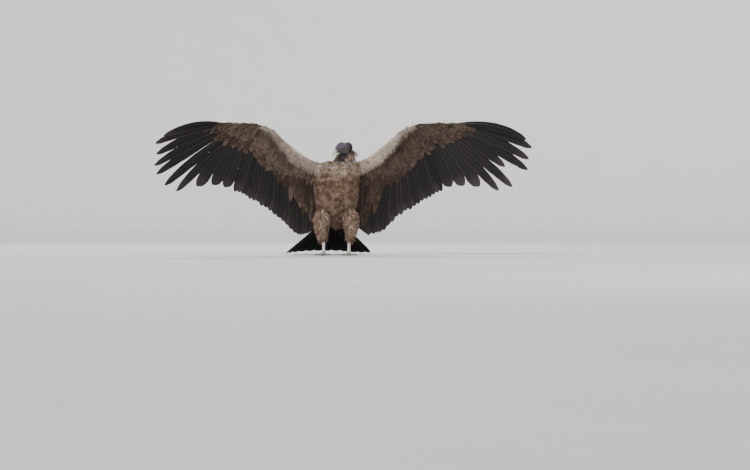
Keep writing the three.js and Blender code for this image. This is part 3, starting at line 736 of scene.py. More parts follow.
# A kind of small feather: its outline, half width as a share of its length, how far it stands off the skin
# as a share of its length, and how far its direction strays, in radians
VANE = SimpleNamespace(
    shares=v3((0, 0.32, 0.64, 0.87)), widths=v3((0.45, 0.92, 0.95, 0.58)), wide=0.115, rise=(0.10, 0.26),
    stray=0.22,
)
WISP = SimpleNamespace(
    shares=v3((0, 0.45, 0.80)), widths=v3((0.6, 1.0, 0.6)), wide=0.040, rise=(0.17, 0.34), stray=0.34,
)
LOCK = SimpleNamespace(
    shares=v3((0, 0.40, 0.78)), widths=v3((0.7, 1.0, 0.55)), wide=0.070, rise=(0.26, 0.46), stray=0.30,
)
BRISTLE = SimpleNamespace(
    shares=v3((0, 0.5)), widths=v3((1.0, 0.7)), wide=0.045, rise=(0.15, 0.45), stray=0.5,
)


def copied(faces, count, each):
    """The same faces for each of several feathers, which have each points."""
    faces = np.array(faces)
    return (faces[None] + (np.arange(count) * each)[:, None, None]).reshape(-1, faces.shape[1])


def feather_set(points, faces, uv, share, across, tone, mark):
    """Feathers as arrays. share and across place a feather's points on it; tone and mark are per feather."""
    count, each = len(points), len(share)
    attributes = {
        "along": np.tile(share, count), "across": np.tile(across, count),
        "tone": np.repeat(tone, each), "mark": np.repeat(mark, each),
    }
    return SimpleNamespace(
        points=points.reshape(-1, 3), faces=faces, uv=uv.reshape(-1, 2), attributes=attributes,
    )


def tuft_arrays(ground, flow, kind, long, rng, tone, mark, uv, sink=0.004, curl=0.55):
    """Small closed feathers with a raised middle: a few three-cornered rings and a tip each.

    ground holds their roots and the skin's normals, flow their lie, long their lengths and uv their places on
    the map. curl bends their tips back down."""
    roots, normal = ground.roots, ground.normals
    count, rings = len(roots), len(kind.shares)
    shares, widths = kind.shares, kind.widths
    along = ruffled(laid(flow, normal), normal, rng, kind.stray, 0.5 * (mottle(roots, 34.0, 9.0) - 0.5))
    wide = long * kind.wide
    rise = rng.uniform(*kind.rise, count)
    side = unit(np.cross(along, normal))
    s = np.append(shares, 1.0)[None, :, None]
    path = roots[:, None] - normal[:, None] * sink + along[:, None] * long[:, None, None] * s
    path = path + normal[:, None] * (long * rise)[:, None, None] * (s * 1.6 - curl * 1.6 * s * s)
    half = wide[:, None, None] * widths[None, :, None]
    thick = (0.05 * wide[:, None, None] + 0.0004) * (1.05 - s[:, :-1])
    points = np.empty((count, rings * 3 + 1, 3))
    points[:, 0:-1:3] = path[:, :-1] - side[:, None] * half - normal[:, None] * half * 0.14
    points[:, 1:-1:3] = path[:, :-1] + normal[:, None] * thick
    points[:, 2:-1:3] = path[:, :-1] + side[:, None] * half - normal[:, None] * half * 0.14
    points[:, -1] = path[:, -1]
    across = np.append(np.tile((-1.0, 0.0, 1.0), rings), 0.0)
    share = np.append(np.repeat(shares, 3), 1.0)
    quads = []
    for k in range(rings - 1):
        a = 3 * k
        quads += [(a, a + 1, a + 4, a + 3), (a + 1, a + 2, a + 5, a + 4), (a + 2, a, a + 3, a + 5)]
    end = 3 * (rings - 1)
    tris = [(end, end + 1, end + 3), (end + 1, end + 2, end + 3), (end + 2, end, end + 3), (0, 2, 1)]
    faces = [copied(f, count, points.shape[1]) for f in (quads, tris)]
    patch = uv[:, None] + PATCH * np.stack((across, share * 2 - 1), 1)[None]
    return feather_set(points, faces, patch, share, across, tone, mark)


def middle_lines(vanes, stations):
    """Large feathers' middle lines, bowed to one side and drooping towards their tips."""
    s = stations[None, :, None]
    line = vanes.root[:, None] + vanes.along[:, None] * vanes.length[:, None, None] * s
    line = line + vanes.side[:, None] * vanes.bow[:, None, None] * 4 * s * (1 - s)
    return line + vanes.face[:, None] * vanes.droop[:, None, None] * s * s


# How far a vane's edge lies ahead of its shaft, as a share of its width
BARB_SWEEP = 0.55


def vane_arrays(vanes, stations, across, thick=0.0007, camber=0.0, tilt=LOUVRE, cells=None):
    """Large feathers as thin closed cambered sheets.

    vanes holds arrays, one row a feather: root, along, side, face, length, outer, inner (half widths at each
    station), bow, droop, tone, mark and uv. cells, where given, is how many feathers share the map."""
    count, rows, cols = len(vanes.root), len(stations), len(across)
    middle = middle_lines(vanes, stations)
    cross = vanes.side * math.cos(tilt) - vanes.face * math.sin(tilt)
    out = vanes.face * math.cos(tilt) + vanes.side * math.sin(tilt)
    a = across[None, None, :]
    x = np.where(a > 0, a * vanes.outer[:, :, None], a * vanes.inner[:, :, None])
    sheet = middle[:, :, None] + cross[:, None, None] * x[..., None]
    sweep = np.abs(x) * BARB_SWEEP * np.sin(math.pi * stations**0.7)[None, :, None]
    sheet = sheet + vanes.along[:, None, None] * sweep[..., None]
    arch = camber * a * a * np.sin(math.pi * (0.12 + 0.8 * stations))[None, :, None]
    sheet = sheet + out[:, None, None] * arch[..., None]
    half = 0.5 * thick * (1.0 - 0.65 * np.abs(a)) * (1.15 - stations[None, :, None])
    offset = out[:, None, None] * half[..., None]
    points = np.stack((sheet + offset, sheet - offset), 1)
    grid = np.arange(rows * cols).reshape(rows, cols)
    top = np.stack((grid[:-1, :-1], grid[:-1, 1:], grid[1:, 1:], grid[1:, :-1]), -1).reshape(-1, 4)
    below = top[:, ::-1] + rows * cols
    loop = np.concatenate((grid[0, :], grid[1:, -1], grid[-1, -2::-1], grid[-2:0:-1, 0]))
    after = np.roll(loop, -1)
    rim = np.stack((after, loop, loop + rows * cols, after + rows * cols), 1)
    quads = np.concatenate((top, below, rim))
    faces = [copied(quads, count, 2 * rows * cols)]
    share = np.tile(np.repeat(stations, cols), 2)
    cross_share = np.tile(across, 2 * rows)
    if cells:
        face_cell = np.repeat((0.0, 0.47), rows * cols)
        u = (np.arange(count)[:, None] + 0.02 + face_cell + 0.45 * (cross_share * 0.5 + 0.5)) / cells
        uv = np.stack((u, np.broadcast_to(0.01 + 0.98 * share, u.shape)), -1)
    else:
        uv = vanes.uv[:, None] + PATCH * np.stack((cross_share, share * 2 - 1), 1)[None]
    return feather_set(points, faces, uv, share, cross_share, vanes.tone, vanes.mark)


def feather_piece(name, batches, material, nodes=()):
    """One piece from several sets of feathers."""
    points, faces = join_parts([(b.points, b.faces) for b in batches])
    attributes = {key: np.concatenate([b.attributes[key] for b in batches]) for key in batches[0].attributes}
    mesh = make_mesh(name, points, faces, attributes, np.concatenate([b.uv for b in batches]))
    return make_piece(name, mesh, material, nodes)


def feather_axes(root, tip, outward, facing):
    """The directions of a feather: along it, out towards its outer edge, and out of the face it shows."""
    along = unit(tip - root)
    face = np.cross(outward, along)
    face = unit(face if np.dot(face, facing) > 0 else -face)
    side = np.cross(face, along)
    return along, unit(side if np.dot(side, outward) > 0 else -side), face


# The wings' pose

def wing_place(wing, p, knot):
    q = np.array(p, float)
    if knot > WRIST_KNOT:
        wrist = v3(ARM_BONES[WRIST_KNOT])
        q = wrist + turned(q - wrist, v3((0, 0, 1)), math.radians(-wing.fold))
    q[0] *= wing.reach * wing.mirror
    return q


def wing_curves(wing):
    lead = [wing_place(wing, p, k) for k, p in enumerate(LEADING_EDGE)]
    bones = [wing_place(wing, p, k) for k, p in enumerate(ARM_BONES)]
    trail = [wing_place(wing, p, 0) for p in TRAILING_EDGE]
    return lead, bones, trail


def flight_feathers(wing, inner_count):
    """Root, tip and directions of each flight feather, from the one next to the body to the wing's tip."""
    _, bones, trail = wing_curves(wing)
    feathers = []
    for k in range(inner_count):
        u = k / (inner_count - 1)
        root = curve_point(bones, mix(*INNER_ROOTS, u))
        tip = curve_point(trail, u)
        feathers.append(SimpleNamespace(
            root=root, tip=tip, hand=False, finger=False, place=u, bow=mix(0.004, 0.014, u),
        ))
    for k, (fan, long) in enumerate(zip(PRIMARY_FAN, PRIMARY_LENGTH)):
        u = k / (len(PRIMARY_FAN) - 1)
        root = curve_point(bones, mix(*HAND_ROOTS, u))
        below = math.radians(fan)
        ahead = math.radians(wing.forward * u**1.3)
        if k + 1 == wing.regrowing:
            long *= wing.regrown
        level = wing.mirror * math.cos(below) * math.cos(ahead)
        along = v3((level, -math.sin(ahead), -math.sin(below) * math.cos(ahead)))
        tip, finger = root + along * long, k >= BROAD_PRIMARIES
        feathers.append(SimpleNamespace(
            root=root, tip=tip, hand=True, finger=finger, place=u, bow=mix(0.014, 0.050, u),
        ))
    for k, f in enumerate(feathers):
        a, b = feathers[max(0, k - 1)], feathers[min(len(feathers) - 1, k + 1)]
        f.outward = b.root + b.tip - a.root - a.tip
        f.along, f.side, f.face = feather_axes(f.root, f.tip, f.outward, v3((0, -1, 0)))
    return feathers


def between(feathers, place):
    """A feather's root and directions at a fractional place in the row of flight feathers."""
    low = min(len(feathers) - 2, int(place))
    share = place - low
    a, b = feathers[low], feathers[low + 1]
    root, tip = mix(a.root, b.root, share), mix(a.tip, b.tip, share)
    along, side, face = feather_axes(root, tip, mix(a.outward, b.outward, share), v3((0, -1, 0)))
    hand = float(b.hand) * share + float(a.hand) * (1 - share)
    return SimpleNamespace(root=root, along=along, side=side, face=face, hand=hand)


def arm_rings(wing, rounds, sides, inset):
    """The arm and hand under the coverts, blunt in front and thin behind."""
    lead, bones, _ = wing_curves(wing)
    knots = len(ARM_BONES) - 1
    rings = []
    for t in np.linspace(0, 1, rounds):
        front, bone = curve_point(lead, t), curve_point(bones, t)
        along = curve_point(bones, min(1, t + 0.01)) - curve_point(bones, max(0, t - 0.01))
        thick = np.interp(t * knots, range(knots + 1), ARM_HALF_THICKNESS)
        trail = np.interp(t * knots, range(knots + 1), ARM_TRAIL)
        chord = unit(bone - front)
        back = bone + chord * trail
        face = unit(np.cross(along, chord))
        face = face if face[1] < 0 else -face
        reach = (front - back) / 2
        turn = full_turn(sides)[:, None]
        taper = 0.72 + 0.28 * np.cos(turn)
        width = reach * (1 - inset / np.linalg.norm(reach))
        depth = face * max(thick - inset, 0.003)
        rings.append((front + back) / 2 + width * np.cos(turn) + depth * taper * np.sin(turn))
    return np.array(rings)


def tail_feather(u, long, over):
    """Root and directions of a tail feather at the share u of the fan, from the bird's right."""
    drop = TAIL_ROOT[2] - TAIL_TIP_HEIGHT
    level = math.sqrt(TAIL_LENGTH**2 - drop**2)
    fan = math.radians(mix(TAIL_FAN[0], TAIL_FAN[1], u))
    inward = 1 - abs(2 * u - 1)
    root = v3(TAIL_ROOT) + v3((mix(-1, 1, u) * TAIL_ROOT_SPREAD, -0.006 + 0.008 * inward, 0))
    along = unit(v3((math.sin(fan) * level, math.cos(fan) * level, -drop)))
    outward = v3((math.cos(fan), -math.sin(fan), 0)) * (-1 if u < 0.5 else 1)
    along, side, face = feather_axes(root, root + along, outward, unit(v3((0, 0.5, 1))))
    root = root + face * (over + TAIL_LAYER * inward)
    return SimpleNamespace(root=root, along=along, side=side, face=face, length=long)


# Skin

def table_rings(table, steps, sides, inset):
    """Level rings from a table of (height, x, y, half width, front, back), smoothed along their length."""
    rows = np.array([curve_row(table, t) for t in np.linspace(0, 1, steps)])
    turn = full_turn(sides)
    depth = np.where(np.sin(turn)[None] < 0, rows[:, 4:5], rows[:, -1:])
    x = rows[:, 1:2] + (rows[:, 3:4] - inset) * np.cos(turn)
    y = rows[:, 2:3] + (depth - inset) * np.sin(turn)
    return np.stack((x, y, np.broadcast_to(rows[:, :1], x.shape)), -1)


def curve_row(table, t):
    """A row of a table at the share t, smoothly between its rows."""
    rows = np.asarray(table, float)
    place = t * (len(rows) - 1)
    k = min(int(place), len(rows) - 2)
    s = place - k
    p1, p2 = rows[k], rows[k + 1]
    p0 = rows[k - 1] if k else 2 * p1 - p2
    p3 = rows[k + 2] if k + 2 < len(rows) else 2 * p2 - p1
    return p1 + 0.5 * s * (p2 - p0 + s * (2 * p0 - 5 * p1 + 4 * p2 - p3 + s * (3 * (p1 - p2) + p3 - p0)))


def thigh_rings(side, steps, sides, inset):
    table = [(z, side * x, y, half, depth, depth) for z, x, y, half, depth in THIGH]
    return table_rings(table, steps, sides, inset)


def neck_rings(steps, sides, inset):
    path = curve_points(NECK, steps)
    t = np.linspace(0, 2, steps)
    radii = np.interp(t, (0, 1, 2), NECK_RADII) - inset
    return tube_rings(path, radii, sides)


def tail_base_rings(sides, inset):
    rows = np.array([curve_row(TAIL_BASE, t) for t in np.linspace(0, 1, 9)])
    up = unit(v3((0, 0.6, 1))) * (rows[:, 4:5] - inset)
    across = v3((1, 0, 0)) * (rows[:, 3:4] - inset)
    return oval_rings(rows[:, :3], across, up, sides)


def body_parts():
    """The flesh under the plumage, inside the solids by the coat's depth."""
    parts = [
        closed_loft(table_rings(TORSO, 26, 48, COAT_DEPTH)),
        closed_loft(neck_rings(12, 32, NECK_DEPTH)),
        closed_loft(tail_base_rings(28, TAIL_DEPTH)),
    ]
    parts += [closed_loft(thigh_rings(side, 14, 32, THIGH_DEPTH)) for side in (1, -1)]
    parts += [closed_loft(arm_rings(wing, 40, 24, ARM_DEPTH)) for wing in WINGS]
    return parts


def skull_rings():
    rows = np.array([curve_row(SKULL, t) for t in np.linspace(0, 1, 26)])
    x, half, top, bottom = rows.T
    return upright_rings(x, 0, (top + bottom) / 2, half, (top - bottom) / 2, 40)


def comb_rings():
    u = np.linspace(0, 1, 16)
    x = mix(COMB.start, COMB.end, u)
    rise = COMB.rise * np.sin(math.pi * mix(0.1, 0.93, u)) ** 0.8 * (1 + 0.05 * np.sin(u * 34))
    low = mix(0.028, 0.012, u)
    half = COMB.half * np.sin(math.pi * mix(0.2, 0.85, u)) * (1 + 0.10 * np.sin(u * 27 + 1))
    base = mix(0.036, 0.019, u**1.2)
    waver = 0.0012 * np.sin(u * 9)
    return upright_rings(x, waver, (low + base + rise) / 2, half, (base + rise - low) / 2, 20)


def ring_tube(middle, axis_a, axis_b, radius_a, radius_b, tube, rounds=40, sides=12, swell=0.0):
    """A closed ring of tube, as an eyelid or a fold of skin. swell thickens it towards axis_b."""
    turn = full_turn(rounds)
    axis_a, axis_b = unit(v3(axis_a)), unit(v3(axis_b))
    c, s = np.cos(turn)[:, None], np.sin(turn)[:, None]
    out = axis_a * c + axis_b * s
    path = v3(middle) + axis_a * (radius_a * c) + axis_b * (radius_b * s)
    normal = np.cross(axis_a, axis_b)
    thick = tube * (1 + swell * np.sin(turn))[:, None, None]
    around = full_turn(sides)[None, :, None]
    rings = path[:, None] + (out[:, None] * np.cos(around) + normal * np.sin(around)) * thick
    return rings.reshape(-1, 3), [tube_quads(rounds + 1, sides) % (rounds * sides)]


def head_parts():
    """Skull, jowls, brows, lids, comb, chin fold and bare neck."""
    parts = [closed_loft(skull_rings()), closed_loft(comb_rings())]
    parts.append(ellipsoid((0.020, 0, -0.042), (0.026, 0.005, 0.009)))
    for side in (1, -1):
        parts.append(ellipsoid((-0.006, side * 0.0185, -0.020), (0.032, 0.0155, 0.021)))
        path = curve_points([(x, side * y, z) for x, y, z in BROW], 14)
        parts.append(closed_loft(tube_rings(path, np.linspace(0.0045, 0.0030, 14), 12)))
        lid = (EYE_AT[0], side * (EYE_AT[1] + 0.0042), EYE_AT[2])
        parts.append(ring_tube(lid, (1, 0, 0), (0, 0, 1), 0.0093, 0.0074, 0.0024, swell=0.25))
    parts = [(from_head(points), faces) for points, faces in parts]
    path = curve_points(BARE_NECK, 24)
    radii = np.interp(np.linspace(0, 1, 24), (0, 0.35, 0.7, 1), BARE_NECK_RADII)
    parts.append(closed_loft(tube_rings(path, radii, 36, (0, 1, 0))))
    down = unit(np.gradient(path, axis=0))
    for k, place in enumerate(range(5, 23, 3)):
        across = unit(np.cross(down[place], v3((0, 1, 0))))
        tilt = unit(np.cross(down[place], across) + 0.25 * down[place] * math.sin(k * 2.1))
        radius = radii[place] - 0.0022
        tube = 0.0034 + 0.0006 * math.sin(k * 1.7)
        parts.append(ring_tube(path[place], across, tilt, radius, radius, tube, swell=0.3))
    return parts


def dent(local, middle, radii, depth):
    """Pushes the skin in, in an oval seen from the head's side."""
    x = (local[:, 0] - middle[0]) / radii[0]
    z = (local[:, 2] - middle[1]) / radii[1]
    amount = np.exp(-((x * x + z * z) ** 2)) * depth * (np.abs(local[:, 1]) > 0.004)
    return local - np.sign(local[:, 1:2]) * np.array((0, 1, 0)) * amount[:, None]


def eye_distance(local, out):
    """How far places on the head are from the nearer eye, which lies out to its side."""
    eyes = [v3((EYE_AT[0], side * out, EYE_AT[2])) for side in (1, -1)]
    return np.minimum(*(np.linalg.norm(local - eye, axis=1) for eye in eyes))


def sculpt_head(mesh):
    """Presses in the mouth, nostrils and ears, and raises the wrinkles of the bare skin."""
    points, normals = mesh_points(mesh)
    local = to_head(points)
    gape = MOUTH_HEIGHT + 0.004 * step(0.034, 0.018, local[:, 0])
    line = np.exp(-(((local[:, 2] - gape) / 0.0011) ** 2)) * step(0.016, 0.026, local[:, 0])
    local[:, 1] -= np.sign(local[:, 1]) * np.minimum(0.0026 * line, np.abs(local[:, 1]) * 0.6)
    local = dent(local, NOSTRIL_AT, (0.0062, 0.0030), 0.0060)
    local = dent(local, EAR_AT, (0.0052, 0.0070), 0.0050)
    points = from_head(local)
    calm = 0.25 + 0.75 * step(0.010, 0.018, eye_distance(local, EYE_AT[1] + 0.004))
    throat = step(-0.016, -0.040, local[:, 2]) + step(0.730, 0.705, points[:, 2])
    for k, p in enumerate(local):
        places = [Vector(p * grain) for grain in FOLD_GRAINS]
        across, down = (noise.ridged_multi_fractal(at, 0.8, 2.1, 3, 0.9, 2.0) for at in places)
        fold = mix(across, down, min(1.0, throat[k])) - 1.0
        fine = noise.fractal(Vector(p) * 450, 0.9, 2.0, 3)
        points[k] += normals[k] * (0.00042 * fold * (1 + 0.6 * throat[k]) + 0.00020 * fine) * calm[k]
    mesh.vertices.foreach_set("co", points.astype(np.float32).ravel())
    mesh.update()
    return points, local


def skin_material(colours):
    """Bare grey skin of the head, and dull brown skin under the feathers, told apart by the mark."""
    material, tree, shader = new_material("Condor skin", 0.62, Specular_IOR_Level=0.35)
    folds = put(tree, "ShaderNodeGroup", node_tree=wrinkle_group())
    patches = cloud(tree, 70.0, 4.0)
    face = blend(tree, attribute(tree, "crown"), rgba(colours.skin_face), rgba(colours.skin_crown))
    # The throat's colour here is partly painted shade under the head
    bare = blend(tree, attribute(tree, "throat"), face, rgba(colours.skin_throat))
    bare = blend(tree, spread(tree, patches, 0.45, 0.75, 0.0, 0.35), bare, rgba(colours.skin_throat))
    # Painted shade: the skin's creases are darkened towards the throat's colour
    shade = spread(tree, folds.outputs["Crease"], 0.0, 1.0, 0.55, 0.0)
    bare = blend(tree, shade, bare, rgba(colours.skin_throat))
    covered = blend(tree, attribute(tree, "tone"), rgba(colours.body_deep), rgba(colours.body_mid))
    covered = blend(tree, attribute(tree, "dark"), covered, rgba(colours.flight_deep))
    # pale lightens the skin with real cream and, in part, painted sunlight on the shoulders and the wings'
    # front edges
    covered = blend(tree, attribute(tree, "pale"), covered, rgba(colours.body_pale))
    tree.links.new(blend(tree, attribute(tree, "mark"), covered, bare), shader.inputs["Base Color"])
    bump(tree, shader, folds.outputs["Height"], 0.0007)
    return material


def mottle(points, scale, seed=0.0):
    """A slow variation over the body, from 0 to 1."""
    moved = Vector((seed, 0, 0))
    return np.array([noise.fractal(Vector(p) * scale + moved, 0.9, 2.0, 3) for p in points]) * 0.5 + 0.5


def shoulder_bleach_and_sunlight(points):
    """Where the body's plumage is pale over the shoulders: partly real bleaching, partly painted sunlight on
    the top of the torso.
    """
    shoulder = step(0.540, 0.640, points[:, 2]) * (np.abs(points[:, 0]) < 0.21)
    return 0.85 * shoulder


class BodySkin:
    """The finished surfaces of the body and head, kept while the feathers are rooted in them."""

    tree = None
    head = None


def surface(points, faces):
    return BVHTree.FromPolygons(points.tolist(), [f for group in faces for f in group.tolist()])


def build_skin(sizes, colours):
    body = fused_mesh("body_skin", body_parts(), *BODY_FUSING)
    points, _ = mesh_points(body)
    faces = mesh_faces(body)
    head = fused_mesh("head_skin", head_parts(), *HEAD_FUSING)
    head_points, local = sculpt_head(head)
    head_faces = mesh_faces(head)
    BodySkin.tree, BodySkin.head = surface(points, faces), surface(head_points, head_faces)
    crown = step(0.004, 0.024, local[:, 2]) * step(-0.070, -0.030, local[:, 0])
    # throat: dark skin under the head and down the bare neck, partly its own colour, partly painted shade
    # under the head
    throat = np.maximum(step(-0.026, -0.044, local[:, 2]), step(0.722, 0.702, head_points[:, 2]))
    none, full = np.zeros(len(points)), np.ones(len(head_points))
    dark = step(0.34, 0.30, points[:, 2]) * step(0.10, 0.16, points[:, 1])
    edges = np.concatenate([curve_points(wing_curves(wing)[0], 90) for wing in WINGS])
    near = [np.linalg.norm(edges - p, axis=1).min() if abs(p[0]) > 0.14 else 1.0 for p in points]
    # pale: the skin along the wings' front edges and over the shoulders, partly their real cream, partly
    # painted sunlight
    pale = np.maximum(0.55 * step(0.045, 0.012, np.array(near)), 0.5 * shoulder_bleach_and_sunlight(points))
    both = {
        "pale": (pale, 0 * full), "mark": (none, full), "tone": (none + 0.12, full), "dark": (dark, 0 * full),
        "crown": (none, crown), "throat": (none, throat),
    }
    attributes = {key: np.concatenate(pair) for key, pair in both.items()}
    joined = faces + [f + len(points) for f in head_faces]
    mesh = make_mesh("skin", np.concatenate((points, head_points)), joined, attributes)
    nodes = ["torso", "neck", "head", "comb", "thigh_left", "thigh_right"]
    make_piece("skin", mesh, skin_material(colours), nodes)
    for old in (body, head):
        bpy.data.meshes.remove(old)


# Bill and eyes

def bill_material(colours):
    material, tree, shader = new_material("Condor bill", 0.38, Coat_Weight=0.15, Coat_Roughness=0.3)
    horn = put(tree, "ShaderNodeGroup", node_tree=horn_group())
    waver = maths(tree, "MULTIPLY", maths(tree, "SUBTRACT", horn.outputs["Line"], 0.5), 0.25)
    along = maths(tree, "ADD", attribute(tree, "along"), waver)
    tint = blend(tree, spread(tree, along, 0.12, 0.42), rgba(colours.bill_base), rgba(colours.bill_tip))
    worn = spread(tree, horn.outputs["Line"], 0.5, 0.8, 0.0, 0.25)
    worn = blend(tree, worn, tint, rgba(colours.bill_base))
    tree.links.new(worn, shader.inputs["Base Color"])
    bump(tree, shader, horn.outputs["Height"], 0.0002)
    return material


def shaped_ring(middle, across, up, sides, keel, sheer):
    """A bill's section: narrowed along the top by keel, with walls that run straighter down by sheer."""
    turn = full_turn(sides)
    c, s = np.cos(turn), np.sin(turn)
    power = np.where(s < 0, 1 - sheer, 0.85)
    narrow = 1 - keel * np.clip(s, 0, 1) ** 2
    return middle + across * (np.sign(c) * np.abs(c) ** power * narrow)[:, None] + up * s[:, None]


def upper_bill_rings():
    rings = []
    for t in np.linspace(0, 1, 30):
        x, z, half, top, bottom, lean = curve_row(BILL_UPPER, t)
        lean = math.radians(lean)
        up = v3((math.sin(lean), 0, math.cos(lean)))
        middle = v3((x, 0, z)) + up * (top + bottom) / 2
        across, height = v3((0, max(half, 0.0008), 0)), up * max((top - bottom) / 2, 0.001)
        rings.append(shaped_ring(middle, across, height, 32, 0.28, 0.5 * (1 - t)))
    return np.array(rings)


def lower_bill_rings():
    rings = []
    for t in np.linspace(0, 1, 20):
        x, half, top, bottom = curve_row(BILL_LOWER, t)
        middle = v3((x, 0, (top + bottom) / 2))
        across, height = v3((0, half * 0.9, 0)), v3((0, 0, (top - bottom) / 2))
        rings.append(shaped_ring(middle, across, height, 24, -0.1, 0.15))
    return np.array(rings)


def head_piece(name, rings, material, nodes):
    """A closed loft in the head's own frame, as a piece."""
    points, faces = closed_loft(rings)
    mesh = make_mesh(name, from_head(points), faces, {"along": loft_shares(rings)})
    make_piece(name, mesh, material, nodes)


def build_bill(sizes, colours):
    material = bill_material(colours)
    head_piece("bill_top", upper_bill_rings(), material, ["bill_upper"])
    head_piece("bill_under", lower_bill_rings(), material, ["bill_lower"])


def eye_material(colours):
    """A wet brown eye with a round dark pupil, told by how far each point is from the middle."""
    material, tree, shader = new_material(
        "Condor eye", 0.12, Coat_Weight=0.6, Coat_Roughness=0.02, Specular_IOR_Level=0.2,
    )
    ring = attribute(tree, "along")
    rays = spread(tree, cloud(tree, 900.0, 3.0), 0.35, 0.7)
    iris = blend(tree, rays, rgba(colours.iris), rgba(colours.iris, 2.2))
    pupil = spread(tree, ring, 0.14, 0.16)
    inner = blend(tree, pupil, (0.004, 0.004, 0.005, 1), iris)
    edge = spread(tree, ring, 0.34, 0.39)
    tree.links.new(blend(tree, edge, inner, (0.02, 0.014, 0.012, 1)), shader.inputs["Base Color"])
    return material


def build_eyes(sizes, colours):
    material = eye_material(colours)
    for name, side in (("left", 1), ("right", -1)):
        angle = np.linspace(0.02, math.pi - 0.02, 26)
        radius = EYE_RADIUS * 0.95
        middle = v3((EYE_AT[0], side * (EYE_AT[1] - 0.0006), EYE_AT[2]))
        middles = middle + np.outer(np.cos(angle), (0, side * radius, 0))
        across = np.outer(np.sin(angle) * radius, (side, 0, 0))
        up = np.outer(np.sin(angle) * radius, (0, 0, 1))
        rings = oval_rings(middles, across, up, 32)
        head_piece(f"eyeball_{name}", rings, material, [f"eye_{name}"])


# Legs

def leg_material(colours):
    material, tree, shader = new_material("Condor leg", 0.6, Specular_IOR_Level=0.35)
    folds = put(tree, "ShaderNodeGroup", {"Fold scale": 330.0}, node_tree=wrinkle_group())
    raised = attribute(tree, "along")
    gap = blend(tree, spread(tree, raised, 0.15, 0.6), rgba(colours.scale_gap), rgba(colours.shank))
    stain = spread(tree, cloud(tree, 60.0, 5.0), 0.35, 0.65, 0.3, 1.0)
    lower = maths(tree, "MULTIPLY", attribute(tree, "tone"), stain)
    tinted = blend(tree, lower, gap, rgba(colours.scale_gap))
    # Painted shade: the skin's creases are darkened towards the grey between the scales
    crease = spread(tree, folds.outputs["Crease"], 0, 1, 0.4, 0.0)
    tree.links.new(blend(tree, crease, tinted, rgba(colours.scale_gap)), shader.inputs["Base Color"])
    bump(tree, shader, folds.outputs["Height"], 0.0005)
    return material


def toe_line(side, toe):
    turn, long, radius = TOES[toe]
    turn = math.radians(turn)
    along = v3((side * math.sin(turn), -math.cos(turn), 0))
    start = v3((side * ANKLE[0], ANKLE[1] - 0.002, radius + 0.005))
    end = start + along * long
    end[2] = radius * 0.72
    return along, start, end


def toe_path(side, toe, count):
    """Middle line and radii of a toe, with its joints swollen."""
    _, long, radius = TOES[toe]
    _, start, end = toe_line(side, toe)
    u = np.linspace(0, 1, count)
    path = start + (end - start) * u[:, None]
    arched = 0.0016 * np.sin(u * math.pi * 3) ** 2 * (u > 0.1)
    path[:, 2] = mix(start[2], radius * 0.86, np.minimum(1, u * 2.2)) + arched
    joints = 3 if long > 0.07 else 2
    radii = radius * mix(1.02, 0.78, u) * (1 + 0.07 * np.cos(u * 2 * math.pi * joints))
    return path, radii


def leg_parts(side):
    hock, ankle = mirrored(HOCK, side), mirrored(ANKLE, side)
    shares = np.linspace(-0.35, 1, 24)
    path = hock + (ankle - hock) * shares[:, None]
    swell = np.interp(shares, *SHANK_SWELL)
    parts = [closed_loft(tube_rings(path, SHANK_RADIUS * swell, 28))]
    parts.append(ellipsoid((side * ANKLE[0], ANKLE[1] - 0.003, 0.0115), (0.015, 0.016, 0.0118)))
    parts += [closed_loft(tube_rings(*toe_path(side, toe, 26), 20)) for toe in TOES]
    return parts


def scale_height(points, side, pitch):
    """Raised scales: a row of broad ones down the front of the shank and the top of each toe."""
    hock, ankle = mirrored(HOCK, side), mirrored(ANKLE, side)
    best = np.full(len(points), 1e9)
    run = np.zeros(len(points))
    lines = [(hock + (hock - ankle) * 0.35, ankle)] + [toe_line(side, toe)[1:] for toe in TOES]
    for start, end in lines:
        axis = unit(end - start)
        t = np.clip((points - start) @ axis, 0, np.linalg.norm(end - start))
        distance = np.linalg.norm(points - start - t[:, None] * axis, axis=1)
        run = np.where(distance < best, t, run)
        best = np.minimum(best, distance)
    wave = np.abs(np.sin(math.pi * run / pitch))
    return 1 - (1 - wave) ** 3


